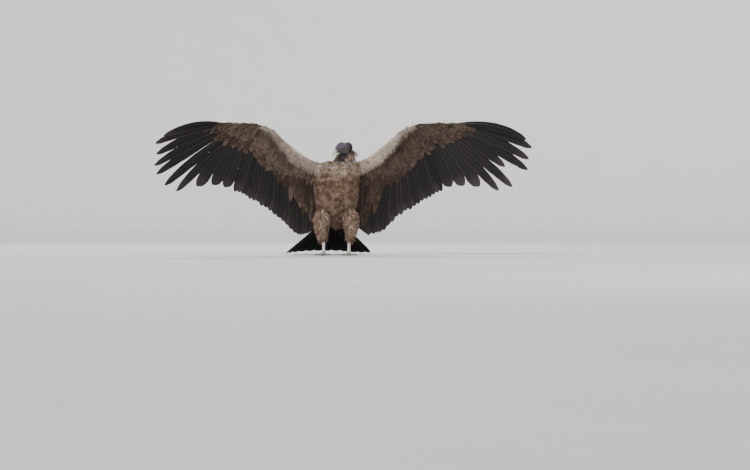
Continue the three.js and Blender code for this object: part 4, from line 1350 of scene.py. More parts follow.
def build_legs(sizes, colours):
    skin = leg_material(colours)
    horn, tree, shader = new_material("Condor claw", 0.35, Coat_Weight=0.2, Coat_Roughness=0.3)
    growth = put(tree, "ShaderNodeGroup", {"Lines": 14.0}, node_tree=horn_group())
    lines = spread(tree, growth.outputs["Line"], 0.4, 0.8)
    worn = blend(tree, lines, rgba(colours.claw), rgba(colours.claw, 3))
    tree.links.new(worn, shader.inputs["Base Color"])
    bump(tree, shader, growth.outputs["Height"], 0.0002)
    for name, side in (("left", 1), ("right", -1)):
        mesh = fused_mesh(f"leg_{name}", leg_parts(side), *LEG_FUSING)
        points, normals = mesh_points(mesh)
        raised = scale_height(points, side, sizes.scale_pitch)
        shank, toes = step(-0.2, 0.5, -normals[:, 1]), step(-0.1, 0.5, normals[:, 2])
        front = np.where(points[:, 2] > 0.03, shank, toes)
        points += normals * (0.0007 * raised * front)[:, None]
        points[:, 2] = np.maximum(points[:, 2], 0.0)
        attributes = {"along": mix(1.0, raised, front), "tone": step(0.045, 0.018, points[:, 2])}
        faces = mesh_faces(mesh)
        bpy.data.meshes.remove(mesh)
        nodes = [f"shank_{name}", f"foot_{name}"]
        mesh = make_mesh(f"leg_{name}", points, faces, attributes)
        make_piece(f"leg_{name}", mesh, skin, nodes)
        claws = []
        for toe in TOES:
            along, _, end = toe_line(side, toe)
            radius = TOES[toe][2]
            long = CLAW_LENGTH * (0.7 if toe == "hind" else 1.0)
            u = np.linspace(-0.25, 1, 14)
            path = end + along * (long * u)[:, None]
            path[:, 2] = radius * 0.95 - CLAW_DROP * np.maximum(0, u) ** 2
            radii = np.interp(u, *CLAW_TAPER)
            claws.append(tube_rings(path, radii, 14))
        points, faces = join_parts([closed_loft(rings) for rings in claws])
        shares = np.concatenate([loft_shares(rings) for rings in claws])
        mesh = make_mesh(f"claws_{name}", points, faces, {"along": shares})
        make_piece(f"claws_{name}", mesh, horn, [f"claw_{name}_{toe}" for toe in TOES])


# Flight and tail feathers

# Shares of the length where a vane may be split, and how wide a split opens
SPLITS = (0.32, 0.41, 0.52, 0.61, 0.72, 0.79, 0.87)
SPLIT_WIDTH = 0.004
VANE_STATIONS = np.array(sorted(
    [0.05 * k for k in range(19)] + [at + k * SPLIT_WIDTH for at in SPLITS for k in range(3)]
    + [0.925, 0.95, 0.97, 0.985, 0.995, 1.0]
))
VANE_ACROSS = np.array((-1.0, -0.72, -0.42, -0.16, 0.0, 0.16, 0.45, 0.75, 1.0))
VANE_THICK = 0.0008
# (share of the length, half width of the outer vane, half width of the inner vane)
FINGER_OUTLINE = (
    (0.0, 0.003, 0.003), (0.3, 0.016, 0.029), (0.58, 0.023, 0.046), (0.78, 0.022, 0.040),
    (0.93, 0.016, 0.027), (0.98, 0.008, 0.013), (1.0, 0.002, 0.003),
)
BROAD_OUTLINE = (
    (0.0, 0.003, 0.003), (0.28, 0.018, 0.030), (0.84, 0.033, 0.056), (0.94, 0.026, 0.044),
    (0.98, 0.014, 0.023), (1.0, 0.003, 0.005),
)
SECONDARY_OUTLINE = (
    (0.0, 0.003, 0.003), (0.25, 0.016, 0.022), (0.82, 0.023, 0.037), (0.94, 0.018, 0.028),
    (0.98, 0.010, 0.014), (1.0, 0.003, 0.004),
)
TAIL_OUTLINE = (
    (0.0, 0.003, 0.003), (0.24, 0.015, 0.017), (0.88, 0.036, 0.039), (0.95, 0.033, 0.036),
    (0.985, 0.026, 0.028), (1.0, 0.014, 0.015),
)


def frayed_widths(outline, count, rng):
    """Half widths at each station for each feather, a little uneven and with a few splits in the vane."""
    table = np.array(outline)
    outer = np.interp(VANE_STATIONS, table[:, 0], table[:, 1])
    inner = np.interp(VANE_STATIONS, table[:, 0], table[:, 2])
    widths = []
    for half in (outer, inner):
        rows = np.tile(half, (count, 1)) * (1 + 0.012 * rng.standard_normal((count, len(half))))
        for row in rows:
            for at in rng.choice(SPLITS, rng.integers(0, 2), replace=False):
                row[np.argmin(np.abs(VANE_STATIONS - at - SPLIT_WIDTH))] *= rng.uniform(0.72, 0.92)
        widths.append(rows)
    return widths


def shaft_arrays(vanes, radius, sides=6, cells=1):
    """Shafts down the middle of large feathers, standing out on both faces."""
    shares, turn = np.linspace(0, 0.97, 16), full_turn(sides)
    r = (radius * (1.05 - shares) ** 0.8)[None, :, None, None]
    c, s = np.cos(turn)[:, None], np.sin(turn)[:, None]
    around = vanes.side[:, None, None] * c + vanes.face[:, None, None] * s
    points = middle_lines(vanes, shares)[:, :, None] + around * r
    count, rows = len(vanes.root), len(shares)
    share = np.repeat(shares, sides)
    cell = (np.arange(count)[:, None] + 0.955 + 0.03 * np.tile(turn / 6.3, rows)[None]) / cells
    uv = np.stack((cell, np.broadcast_to(0.01 + 0.98 * share, cell.shape)), -1)
    faces = [copied(tube_quads(rows, sides), count, rows * sides)]
    return feather_set(points, faces, uv, share, 0 * share, vanes.tone, vanes.mark)


def gathered(feathers, names):
    """The values that feathers have under each of several names, as arrays."""
    return {name: np.array([getattr(f, name) for f in feathers]) for name in names}


def stack_feathers(feathers, rng, outline, droop):
    count = len(feathers)
    outer, inner = frayed_widths(outline, count, rng)
    return SimpleNamespace(
        **gathered(feathers, ("root", "along", "side", "face", "length", "bow")),
        droop=np.full(count, droop), outer=outer, inner=inner, tone=rng.uniform(0.15, 0.85, count),
        mark=np.zeros(count), uv=np.zeros((count, 2)),
    )


def build_flight_feathers(sizes, colours):
    tones = colours.flight_deep, colours.flight_mid, colours.flight_pale
    vane = feather_material("Flight feather", tones, 260.0, 0.60, 1.2, 0.45, depth=0.0003, slant=0.0)
    shaft, tree, shader = new_material("Feather shaft", 0.35)
    tint = blend(tree, attribute(tree, "along"), rgba(colours.flight_pale), rgba(colours.flight_deep))
    tree.links.new(tint, shader.inputs["Base Color"])
    for wing in WINGS:
        rng = np.random.default_rng(11 + wing.mirror)
        feathers = flight_feathers(wing, sizes.inner_feathers)
        for f in feathers:
            f.length = np.linalg.norm(f.tip - f.root) * (1 + 0.012 * rng.standard_normal())
        cells = len(feathers)
        batches, shafts, first = [], [], 0
        groups = (
            (SECONDARY_OUTLINE, [f for f in feathers if not f.hand]),
            (BROAD_OUTLINE, [f for f in feathers if f.hand and not f.finger]),
            (FINGER_OUTLINE, [f for f in feathers if f.finger]),
        )
        for outline, group in groups:
            vanes = stack_feathers(group, rng, outline, 0.008)
            if outline is SECONDARY_OUTLINE:
                vanes.mark = step(0.24, 0.0, np.array([f.place for f in group])) * 0.4
            batch = vane_arrays(vanes, VANE_STATIONS, VANE_ACROSS, VANE_THICK, camber=0.0035, cells=cells)
            rachis = shaft_arrays(vanes, 0.0024 if group[0].finger else 0.0017, cells=cells)
            batch.uv[:, 0] += first / cells
            rachis.uv[:, 0] += first / cells
            first += len(group)
            batches.append(batch)
            shafts.append(rachis)
        nodes = [f"wing_{wing.name}_arm", f"wing_{wing.name}_hand"]
        feather_piece(f"flight_feathers_{wing.name}", batches, vane, nodes)
        feather_piece(f"feather_shafts_{wing.name}", shafts, shaft)


def build_tail(sizes, colours):
    deep = [c * 0.5 for c in colours.tail_mid]
    vane = feather_material(
        "Tail feather", (deep, colours.tail_mid, colours.flight_pale), 260.0, 0.1, 0.8, 0.7,
        depth=0.0003, slant=0.0,
    )
    rng = np.random.default_rng(5)
    count = sizes.tail_feathers
    feathers = []
    for k in range(count):
        u = k / (count - 1)
        long = TAIL_LENGTH - 0.006 + 0.004 * rng.uniform(-1, 1)
        f = tail_feather(u, long, 0.001 * (k % 2))
        f.bow = TAIL_BOW * abs(2 * u - 1)
        feathers.append(f)
    vanes = stack_feathers(feathers, rng, TAIL_OUTLINE, 0.0)
    batch = vane_arrays(
        vanes, VANE_STATIONS, VANE_ACROSS, VANE_THICK, camber=-0.003, tilt=-0.02, cells=count,
    )
    feather_piece("tail_feathers", [batch], vane, ["tail"])
    shafts = shaft_arrays(vanes, 0.0018, cells=count)
    feather_piece("tail_shafts", [shafts], bpy.data.materials["Feather shaft"])
    build_tail_coverts(vane)


# Wing coverts

COVERT_STATIONS = np.array((0.0, 0.2, 0.4, 0.58, 0.72, 0.84, 0.92, 0.97, 1.0))
COVERT_ACROSS = np.array((-1.0, -0.55, 0.0, 0.55, 1.0))
COVERT_OUTLINE = np.interp(COVERT_STATIONS, (0, 0.3, 0.75, 0.92, 1.0), (0.5, 0.9, 1.0, 0.72, 0.16))
# Rows of large coverts: (side, stand-off, reach on the arm, reach on the hand, half width, count)
COVERT_ROWS = (
    (1, 0.0052, 0.176, 0.196, 0.022, 36), (1, 0.0066, 0.152, 0.166, 0.021, 38),
    (1, 0.0080, 0.128, 0.138, 0.019, 40), (1, 0.0096, 0.104, 0.112, 0.017, 44),
    (1, 0.0112, 0.082, 0.088, 0.015, 48), (1, 0.0128, 0.060, 0.066, 0.013, 52),
    (-1, 0.0052, 0.182, 0.206, 0.025, 34), (-1, 0.0066, 0.156, 0.172, 0.022, 38),
    (-1, 0.0080, 0.130, 0.142, 0.019, 40), (-1, 0.0096, 0.106, 0.114, 0.017, 44),
    (-1, 0.0112, 0.084, 0.090, 0.015, 48), (-1, 0.0128, 0.062, 0.068, 0.013, 52),
)
# How far ahead of the flight feathers' roots a covert has its own, at each row of a side
COVERT_LEAD = (0.002, 0.008, 0.014, 0.020, 0.026, 0.031)
# Long brown feathers over the flight feathers next to the body: reach, stand-off, half width
TERTIALS = ((0.390, 0.0066, 0.017), (0.350, 0.0088, 0.015), (0.285, 0.0108, 0.014))
TERTIAL_SHARE = 0.30
TERTIAL_COUNT = 14
# Rows of tail coverts: (stand-off, count, reach). The small ones at the base end where the rump's begin.
TAIL_COVERT_ROWS = ((0.007, 18, 0.140), (0.012, 16, 0.095), (-0.007, 18, 0.140), (-0.012, 16, 0.095))
TAIL_COVERTS_TOP = 0.268
RUMP_LOW = 0.244


def row_patches(count, width, height):
    """Patches side by side on the map, at one height."""
    return np.stack((0.02 + width * (np.arange(count) + 0.5) / count, np.full(count, height)), 1)


def covert_vanes(rows, uv, rng, camber, droop, mark, tone=None):
    """Vanes for one row of coverts, each a little ragged."""
    count = len(rows)
    width = np.array([f.width for f in rows])[:, None] * COVERT_OUTLINE[None]
    ragged = mix(0.05, 0.22, COVERT_STATIONS**3)
    vanes = SimpleNamespace(
        **gathered(rows, ("root", "along", "side", "face", "length")),
        bow=np.full(count, 0.003), droop=np.full(count, droop),
        outer=width * (1 + ragged * rng.standard_normal(width.shape)),
        inner=width * (1.1 + ragged * rng.standard_normal(width.shape)),
        tone=rng.uniform(0, 1, count) if tone is None else tone, mark=mark, uv=uv,
    )
    return vane_arrays(vanes, COVERT_STATIONS, COVERT_ACROSS, thick=0.0007, camber=camber)


def shifted(f, rng, off, ahead, reach, width, swing, lean=0.0):
    """A feather like f, standing off to one side and turned a little, by lean towards its outer edge."""
    along = unit(f.along + f.side * (lean + rng.normal(0, swing)))
    side = unit(np.cross(f.face, along))
    f.root = f.root + f.face * off - along * ahead
    f.along, f.side = along, side * np.sign(np.dot(side, f.side))
    f.length, f.width = reach + ahead, width
    return f


def covert_rows(wing, feathers, rng):
    """The large coverts of a wing, row on row over the roots of its flight feathers."""
    batches = []
    last = len(feathers) - 1
    for number, (side, layer, on_arm, on_hand, wide, count) in enumerate(COVERT_ROWS):
        rows = []
        upper = number % 6 / 5
        for k in range(count):
            f = between(feathers, (k + 0.5 + 0.3 * rng.uniform(-1, 1)) / count * last)
            place = k / count
            lean = mix(0.05, 0.45, upper) * (1 - step(0.55, 0.9, place)) * step(0.1, 0.5, place)
            reach = mix(on_arm, on_hand, f.hand) * uneven(rng, 0.10)
            off = side * (layer + 0.0007 * rng.uniform(-1, 1))
            wide_here = wide * mix(1.0, 0.85, f.hand)
            rows.append(shifted(f, rng, off, COVERT_LEAD[number % 6], reach, wide_here, 0.09, lean))
        place = (np.arange(count) + 0.5) / count
        brown = np.maximum(step(0.15, 0.55, upper), step(0.34, 0.48, place))
        tone = brown * rng.uniform(0.10, 1.0, count) * mix(0.15, 1.0, wing.worn)
        mark = rng.uniform(0.0, 0.45, count) * brown * step(0.2, 0.8, upper) * wing.worn
        uv = row_patches(count, 0.96, 0.60 + 0.03 * number)
        batches.append(covert_vanes(rows, uv, rng, -0.003 * side, side * 0.003, mark, tone))
    return batches


def tertial_rows(wing, feathers, rng):
    """Long brown feathers that hang over the flight feathers next to the body, on both faces."""
    batches = []
    reach_in = TERTIAL_SHARE * (len(feathers) - len(PRIMARY_FAN))
    for side in (1, -1):
        for number, (reach, layer, wide) in enumerate(TERTIALS):
            rows = []
            for k in range(TERTIAL_COUNT):
                share = (k + 0.5 + 0.3 * rng.uniform(-1, 1)) / TERTIAL_COUNT
                f = between(feathers, share * reach_in)
                long = reach * mix(1.0, 0.66, share) * uneven(rng, 0.10)
                rows.append(shifted(f, rng, side * layer, 0.01, long, wide, 0.05))
            uv = row_patches(TERTIAL_COUNT, 0.3, 0.975 + 0.004 * number)
            tone = rng.uniform(0.0, 1.0, TERTIAL_COUNT) * mix(0.0, 0.7, wing.worn)
            mark = 0.35 * wing.worn * step(0.7, 0.95, rng.uniform(0, 1, TERTIAL_COUNT))
            batches.append(covert_vanes(rows, uv, rng, -0.003 * side, side * 0.009, mark, tone))
    return batches


def arm_ground(wing, feathers, rng, spacing):
    """Places for the small coverts of a wing, with their lie, length and nearness to its front edge."""
    ground = grounded(*ring_samples(arm_rings(wing, 90, 64, ARM_DEPTH), spacing, rng))
    lead, bones, _ = wing_curves(wing)
    along, front = np.empty_like(ground.roots), np.empty(ground.count)
    inner = len(feathers) - len(PRIMARY_FAN)
    knots = (INNER_ROOTS[0], INNER_ROOTS[1], HAND_ROOTS[0], HAND_ROOTS[1])
    for k, (turn, t) in enumerate(ground.shares):
        place = np.interp(t, knots, (0, inner - 1, inner, len(feathers) - 1))
        feather = between(feathers, place)
        bone = curve_point(bones, t)
        chord = unit(bone - curve_point(lead, t))
        nearer, farther = curve_point(bones, max(0, t - 0.02)), curve_point(bones, min(1, t + 0.02))
        outward = unit(farther - nearer)
        from_front = (1 - math.cos(turn * 2 * math.pi)) / 2
        flow = mix(outward * 1.6 + chord * 0.8, mix(chord, feather.along, 0.6), min(1, from_front * 2.5))
        along[k] = flow
        front[k] = 1 - from_front
    return ground, along, mix(0.052, 0.026, front), front


def ring_samples(rings, spacing, rng):
    """Staggered rows of points over a loft, with each one's share of the turn and of the length."""
    steps = np.linalg.norm(np.diff(rings, axis=0), axis=2).mean(1)
    distance = np.concatenate(((0,), np.cumsum(steps)))
    points, shares = [], []
    for row in np.arange(spacing / 2, distance[-1], spacing):
        place = np.interp(row, distance, np.arange(len(distance)))
        low = min(int(place), len(rings) - 2)
        ring = mix(rings[low], rings[low + 1], place - low)
        closed = np.concatenate((ring, ring[:1]))
        around = np.concatenate(((0,), np.cumsum(np.linalg.norm(np.diff(closed, axis=0), axis=1))))
        count = max(3, round(around[-1] / spacing))
        turn = (np.arange(count) + rng.uniform(0, 1) + 0.35 * rng.uniform(-1, 1, count)) / count % 1
        at = turn * around[-1]
        here = np.stack([np.interp(at, around, closed[:, axis]) for axis in range(3)], 1)
        following = rings[min(low + 1, len(rings) - 1)].mean(0) - rings[low].mean(0)
        here += unit(following) * spacing * 0.35 * rng.uniform(-1, 1, (count, 1))
        share = np.interp(at, around, np.linspace(0, 1, len(closed)))
        points.append(here)
        shares.append(np.stack((share, np.full(count, row / distance[-1])), 1))
    return np.concatenate(points), np.concatenate(shares)


def grounded(points, shares, reach=0.012, keep=None, skin=None):
    """The nearest places on the skin to points, with the skin's normals, where they lie near enough."""
    skin = skin or BodySkin.tree
    roots, normals, kept = [], [], []
    for k, p in enumerate(points):
        place, normal, _, distance = skin.find_nearest(Vector(p))
        if distance < reach and (keep is None or keep(place, normal)):
            roots.append(place)
            normals.append(normal)
            kept.append(k)
    return SimpleNamespace(
        roots=v3(roots), normals=v3(normals), shares=shares[kept], count=len(kept),
    )


def chosen(ground, mask):
    return SimpleNamespace(
        roots=ground.roots[mask], normals=ground.normals[mask], shares=ground.shares[mask],
        count=int(mask.sum()),
    )


def laid(along, normals):
    """Directions pressed flat onto the skin."""
    flat = along - normals * np.sum(along * normals, axis=1, keepdims=True)
    return unit(flat)


def ruffled(along, normals, rng, spread_angle, swirl=0.0):
    """Directions turned a little at random, within the skin, and more together by the swirl."""
    side = np.cross(normals, along)
    angle = (4 * swirl + rng.normal(0, spread_angle, len(along)))[:, None]
    return along * np.cos(angle) + side * np.sin(angle)


def patch_places(shares, corner=(0.02, 0.02), size=(0.96, 0.96)):
    """Where feathers' patches go on the map: an unwrap of the part that they grow on."""
    return v3(corner) + shares * v3(size)


def build_wing_coverts(sizes, colours):
    material = feather_material(
        "Wing covert", (colours.covert_deep, colours.covert_mid, colours.body_pale), 60.0, 0.35, 1.0, 0.8,
    )
    large = feather_material(
        "Large covert", (colours.covert_deep, colours.covert_mid, colours.covert_pale), 240.0, 0.65, 0.7, 0.8,
        shaft=colours.covert_deep, slant=0.25, depth=0.0003,
    )
    for wing in WINGS:
        rng = np.random.default_rng(31 + wing.mirror)
        feathers = flight_feathers(wing, sizes.inner_feathers)
        batches = covert_rows(wing, feathers, rng) + tertial_rows(wing, feathers, rng)
        feather_piece(f"large_coverts_{wing.name}", batches, large)
        batches = []
        for kind, spacing, share in ((VANE, 0.0068, 1.0), (WISP, 0.0062, 0.9)):
            ground, flow, long, front = arm_ground(wing, feathers, rng, spacing)
            long = long * share * uneven(rng, 0.18, ground.count)
            tone = mottle(ground.roots, 18.0) * 0.9 + 0.05 + rng.normal(0, 0.18, ground.count)
            tone = np.clip(tone, 0, 1)
            tone = mix(tone * mix(0.55, 1.0, wing.worn), 0.9, 0.6 * step(-0.2, 0.5, ground.normals[:, 1]))
            t = ground.shares[:, 1]
            near = mix(0.25, 0.62, step(0.20, 0.50, t))
            # Pale along the wing's front edge and shoulder: partly real bleaching, partly painted sunlight
            edge_bleach_and_sunlight = step(0.0, 1.0, (front - near) / 0.34) * mix(1.0, 0.45, step(0.26, 0.62, t))
            edge_bleach_and_sunlight = edge_bleach_and_sunlight * mix(1.6, 0.5, wing.worn) * mix(0.5, 1.0, mottle(ground.roots, 42.0))
            mark = edge_bleach_and_sunlight * rng.uniform(mix(0.1, 0.9, front), 1.0, ground.count)
            mark = mark + 0.30 * wing.worn * (1 - front) * tone
            uv = patch_places(ground.shares, (0.02, 0.05), (0.96, 0.5))
            batches.append(tuft_arrays(ground, flow, kind, long, rng, tone, mark, uv, sink=0.003))
        feather_piece(f"small_coverts_{wing.name}", batches, material)


# Body feathers

def body_flow(ground):
    """The lie of the coat: down and back, sweeping round the flanks."""
    flow = np.empty_like(ground.roots)
    away = ground.roots - (0.034, 0.008, 0)
    top = step(0.45, 0.64, ground.roots[:, 2])
    flow[:, 0] = mix(0.0, 1.0, top) * np.tanh(away[:, 0] / 0.07)
    flow[:, 1] = mix(0.30, 0.8 * np.tanh(away[:, 1] / 0.07), top)
    flow[:, 2] = -1.0
    return flow


def blotches(ground, rng, scale, lift=0.0):
    """Each feather's tone: slow patches, narrow streaks, and a little of its own."""
    streaks = mottle(ground.roots * (1.0, 1.0, 0.4), 95.0, 5.0) - 0.5
    slow = mottle(ground.roots, scale) * 1.9 - 0.45 + lift
    return np.clip(slow + 2.2 * streaks + rng.normal(0, 0.18, ground.count), 0, 1)


def capped(rings, count=6):
    """Rings of a form, carried on over both of its ends."""
    shrink = (1 - np.arange(1, count) / count)[:, None, None]
    first, last = rings[:1].mean(1, keepdims=True), rings[-1:].mean(1, keepdims=True)
    opening, closing = first + (rings[:1] - first) * shrink, last + (rings[-1:] - last) * shrink
    return np.concatenate((opening[::-1], rings, closing))


def body_coat(sizes, rng, kind, spacing):
    """One kind of feather over the torso, its front and back apart."""
    points = ring_samples(capped(table_rings(TORSO, 60, 96, COAT_DEPTH)), spacing, rng)
    ground = grounded(*points)
    long = sizes.body_feather * uneven(rng, 0.18, ground.count)
    tone = blotches(ground, rng, 24.0)
    # Pale over the shoulders: partly bleached feathers, partly painted sunlight
    mark = shoulder_bleach_and_sunlight(ground.roots) * mix(0.25, 1.0, tone) * rng.uniform(0.3, 1.0, ground.count)
    mark = mark + 0.25 * tone**2
    uv = patch_places(ground.shares)
    halves = []
    for half in (ground.normals[:, 1] <= 0, ground.normals[:, 1] > 0):
        part = chosen(ground, half)
        values = tone[half], mark[half], uv[half]
        halves.append(tuft_arrays(part, body_flow(part), kind, long[half], rng, *values))
    return halves


def build_body_feathers(sizes, colours):
    vane = feather_material(
        "Body feather", (colours.body_deep, colours.body_mid, colours.body_pale), 34.0, 0.40, 1.2, 0.85,
    )
    wisp = feather_material(
        "Body wisp", (colours.body_deep, colours.body_mid, colours.body_pale), 8.0, 0.35, 0.8, 0.9,
    )
    rng = np.random.default_rng(71)
    kinds = ((VANE, sizes.body_spacing, vane, "coat"), (WISP, sizes.wisp_spacing, wisp, "wisps"))
    for kind, spacing, material, name in kinds:
        for half, arrays in zip(("front", "back"), body_coat(sizes, rng, kind, spacing)):
            feather_piece(f"{name}_{half}", [arrays], material)
        batches = []
        for number, side in enumerate((1, -1)):
            ground = grounded(*ring_samples(thigh_rings(side, 40, 64, THIGH_DEPTH), spacing, rng))
            flow = np.tile((0.0, 0.12, -1.0), (ground.count, 1))
            long = sizes.thigh_feather * uneven(rng, 0.2, ground.count)
            uv = patch_places(ground.shares, (0.02 + 0.5 * number, 0.02), (0.46, 0.96))
            tone = blotches(ground, rng, 26.0, 0.30)
            mark = 0.5 * tone * rng.uniform(0, 1, ground.count)
            batches.append(tuft_arrays(ground, flow, kind, long, rng, tone, mark, uv))
        rump = ring_samples(tail_base_rings(48, TAIL_DEPTH), spacing, rng)
        ground = grounded(*rump, keep=lambda place, normal: place.z > RUMP_LOW and normal.z > -0.5)
        flow = np.tile((-0.06, 0.75, -0.75), (ground.count, 1))
        long = sizes.body_feather * 1.25 * uneven(rng, 0.2, ground.count)
        tone = blotches(ground, rng, 24.0, -0.15)
        uv = patch_places(ground.shares)
        batches.append(tuft_arrays(ground, flow, kind, long, rng, tone, 0.2 * tone, uv))
        feather_piece(f"{name}_thighs", batches, material)


def build_ruff(sizes, colours):
    """The ruff: long loose locks from the neck, longest and fullest at the nape."""
    material = feather_material(
        "Ruff down", (colours.body_deep, colours.down, colours.body_pale), 10.0, 0.5, 0.9, 0.9,
    )
    rng = np.random.default_rng(91)
    path = curve_points(NECK, 30)
    batches = []
    for kind, spacing, share in ((LOCK, 0.0064, 1.0), (WISP, 0.0040, 0.9)):
        points, shares = ring_samples(capped(neck_rings(40, 64, 0.014)), spacing, rng)
        ground = grounded(points, shares, 0.014, lambda place, normal: normal.z < 0.90)
        nearest = path[np.argmin(np.linalg.norm(ground.roots[:, None] - path[None], axis=2), axis=1)]
        out = unit((ground.roots - nearest) * (1, 1, 0.2))
        throat = v3(((ground.roots[:, 0] - 0.044) / 0.015, (ground.roots[:, 2] - 0.692) / 0.030)).T
        bare = (np.linalg.norm(throat, axis=1) < 1) & (out[:, 1] < 0)
        ground, out = chosen(ground, ~bare), out[~bare]
        nape = step(-0.2, 0.7, out[:, 0] * 0.8 + out[:, 1] * 0.6)
        flow = out * mix(0.45, 1.2, nape)[:, None] + (0, 0, -1.0)
        high = step(0.66, 0.74, ground.roots[:, 2])
        long = sizes.ruff_down * share * mix(1.0, 0.9, high) * mix(0.85, 1.45, nape)
        long = long * uneven(rng, 0.25, ground.count)
        # Painted light and shade: the tone rises and falls in thirteen bands round the neck, as if on folds
        # of the ruff that the locks do not have
        waver = 3 * mottle(ground.roots, 30.0)
        folds = np.sin(ground.shares[:, 0] * 2 * math.pi * 13 + waver) * 0.5 + 0.5
        tone = np.clip(folds * 0.9 - 0.1 + rng.normal(0.05, 0.2, ground.count), 0, 1)
        # mark: the lit bands of the painted folds, and the pale top of the ruff at the nape, partly painted
        # sunlight
        mark = np.maximum(0.8 * tone, nape * high) * rng.uniform(0.35, 1, ground.count)
        uv = patch_places(ground.shares)
        batches.append(tuft_arrays(ground, flow, kind, long, rng, tone, mark, uv, curl=0.5))
    feather_piece("coat_ruff", batches, material)


def build_tail_coverts(material):
    """Coverts over the tail's base, above and below, and small feathers up to the rump."""
    rng = np.random.default_rng(57)
    batches = []
    for over, count, reach in TAIL_COVERT_ROWS:
        rows = []
        for k in range(count):
            f = tail_feather((k + 0.5) / count, reach * uneven(rng, 0.1), over)
            rows.append(shifted(f, rng, 0.0, 0.02, f.length, 0.023, 0.05))
        uv = row_patches(count, 0.96, 0.5 + 20 * over)
        droop = math.copysign(0.003, over)
        batches.append(covert_vanes(rows, uv, rng, -0.003, droop, np.zeros(count)))
    base = ring_samples(tail_base_rings(48, TAIL_DEPTH), 0.008, rng)
    ground = grounded(*base, 0.010, lambda place, normal: place.z < TAIL_COVERTS_TOP)
    long = np.full(ground.count, 0.046) * uneven(rng, 0.15, ground.count)
    flow = np.tile((-0.10, 0.80, -0.75), (ground.count, 1))
    uv = patch_places(ground.shares, (0.02, 0.02), (0.96, 0.2))
    tone, mark = rng.uniform(0, 1, ground.count), step(0.15, 0.0, ground.shares[:, 1]) * 0.3
    batches.append(tuft_arrays(ground, flow, VANE, long, rng, tone, mark, uv, sink=0.003))
    feather_piece("tail_coverts", batches, material)


def build_bristles(sizes, colours):
    """Sparse dark bristles on the crown, cheeks and bare neck."""
    material = feather_material(
        "Head bristle", (colours.skin_throat, colours.skin_throat, colours.skin_face), 4.0, 0.2, 0.2, 0.8,
    )
    rng = np.random.default_rng(19)
    points, shares = ring_samples(skull_rings(), 0.0019, rng)
    ground = grounded(from_head(points), shares, 0.010, skin=BodySkin.head)
    local = to_head(ground.roots)
    ground = chosen(ground, (eye_distance(local, 0.026) > 0.0125) & (local[:, 0] < 0.040))
    local = to_head(ground.roots)
    nape = step(0.0, -0.05, local[:, 0])
    flow = np.tile(-HEAD_AXES[0] - 0.5 * HEAD_AXES[2], (ground.count, 1))
    long = sizes.bristle * mix(0.7, 1.6, nape) * uneven(rng, 0.4, ground.count)
    uv = patch_places(ground.shares)
    tone = rng.uniform(0, 1, ground.count)
    arrays = tuft_arrays(ground, flow, BRISTLE, long, rng, tone, np.zeros(ground.count), uv, sink=0.0005)
    feather_piece("head_bristles", [arrays], material)


# Stage

def area_light(name, place, aim, size, power):
    data = bpy.data.lights.new(name, "AREA")
    data.shape = "DISK"
    data.size = size
    data.energy = power
    light = placed(name, data)
    light.location = place
    light.rotation_euler = (Vector(aim) - Vector(place)).to_track_quat("-Z", "Y").to_euler()


BOWL_RADIUS = 24.0
BOWL_BEND = 9.0


def build_stage(colours):
    """A pale floor that curves up all round into a backdrop, soft lights, and the camera."""
    low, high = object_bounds()
    middle = (low + high) / 2
    turn = np.linspace(0, 0.5 * math.pi, 12)
    bowl = [(BOWL_RADIUS * k / 6, 0.0) for k in range(1, 7)]
    bowl += [(BOWL_RADIUS + BOWL_BEND * math.sin(a), BOWL_BEND * (1 - math.cos(a))) for a in turn[1:]]
    rings = np.array([[(r * math.cos(a), r * math.sin(a), z) for a in full_turn(96)] for r, z in bowl])
    points, faces = closed_loft(rings)
    points, faces = points[:-1], [faces[0], faces[1][:96]]
    mesh = make_mesh("studio_floor", points + v3((middle.x, middle.y, -0.0005)), faces)
    material, tree, shader = new_material("Studio floor", 0.75)
    speck = spread(tree, cloud(tree, 2.0, 3.0), 0.3, 0.7)
    tint = blend(tree, speck, rgba(colours.floor), rgba(colours.floor, 0.97))
    tree.links.new(tint, shader.inputs["Base Color"])
    mesh.materials.append(material)
    placed("studio_floor", mesh)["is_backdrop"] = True
    sun = bpy.data.lights.new("key", "SUN")
    sun.energy = 2.4
    sun.angle = math.radians(18)
    placed("key", sun).rotation_euler = (math.radians(48), 0, math.radians(-28))
    aim = (middle.x, 0, 0.5)
    area_light("fill", (4.5, -6.5, 2.6), aim, 4.0, 120)
    area_light("rim", (-1.0, 4.5, 5.0), aim, 3.0, 160)
    world = bpy.data.worlds.new("Studio")
    world.use_nodes = True
    sky = world.node_tree.nodes["Background"]
    sky.inputs["Color"].default_value = (0.94, 0.96, 1.0, 1)
    sky.inputs["Strength"].default_value = 0.66
    bpy.context.scene.world = world
    data = bpy.data.cameras.new("camera")
    data.sensor_width = SENSOR_WIDTH
    data.lens = SENSOR_WIDTH / PICTURE_WIDTH * CAMERA_DISTANCE
    data.clip_end = 200
    camera = placed("camera", data)
    target = Vector((PICTURE_MIDDLE[0], 0, PICTURE_MIDDLE[1])) + SHIFT
    camera.location = Vector((target.x, SHIFT.y - CAMERA_DISTANCE, CAMERA_HEIGHT))
    camera.rotation_euler = (target - camera.location).to_track_quat("-Z", "Y").to_euler()
    bpy.context.scene.camera = camera


def run(context, builder):
    builder(context.scene.condor_sizes, context.scene.condor_colours)
    return {"FINISHED"}


class CONDOR_OT_skin(bpy.types.Operator):
    """Makes the skin of the body and the bare head"""

    bl_idname = "condor.skin"
    bl_label = "Skin and head"

    def execute(self, context):
        return run(context, build_skin)


class CONDOR_OT_bristles(bpy.types.Operator):
    """Makes the sparse bristles of the bare head"""

    bl_idname = "condor.bristles"
    bl_label = "Head bristles"

    def execute(self, context):
        return run(context, build_bristles)


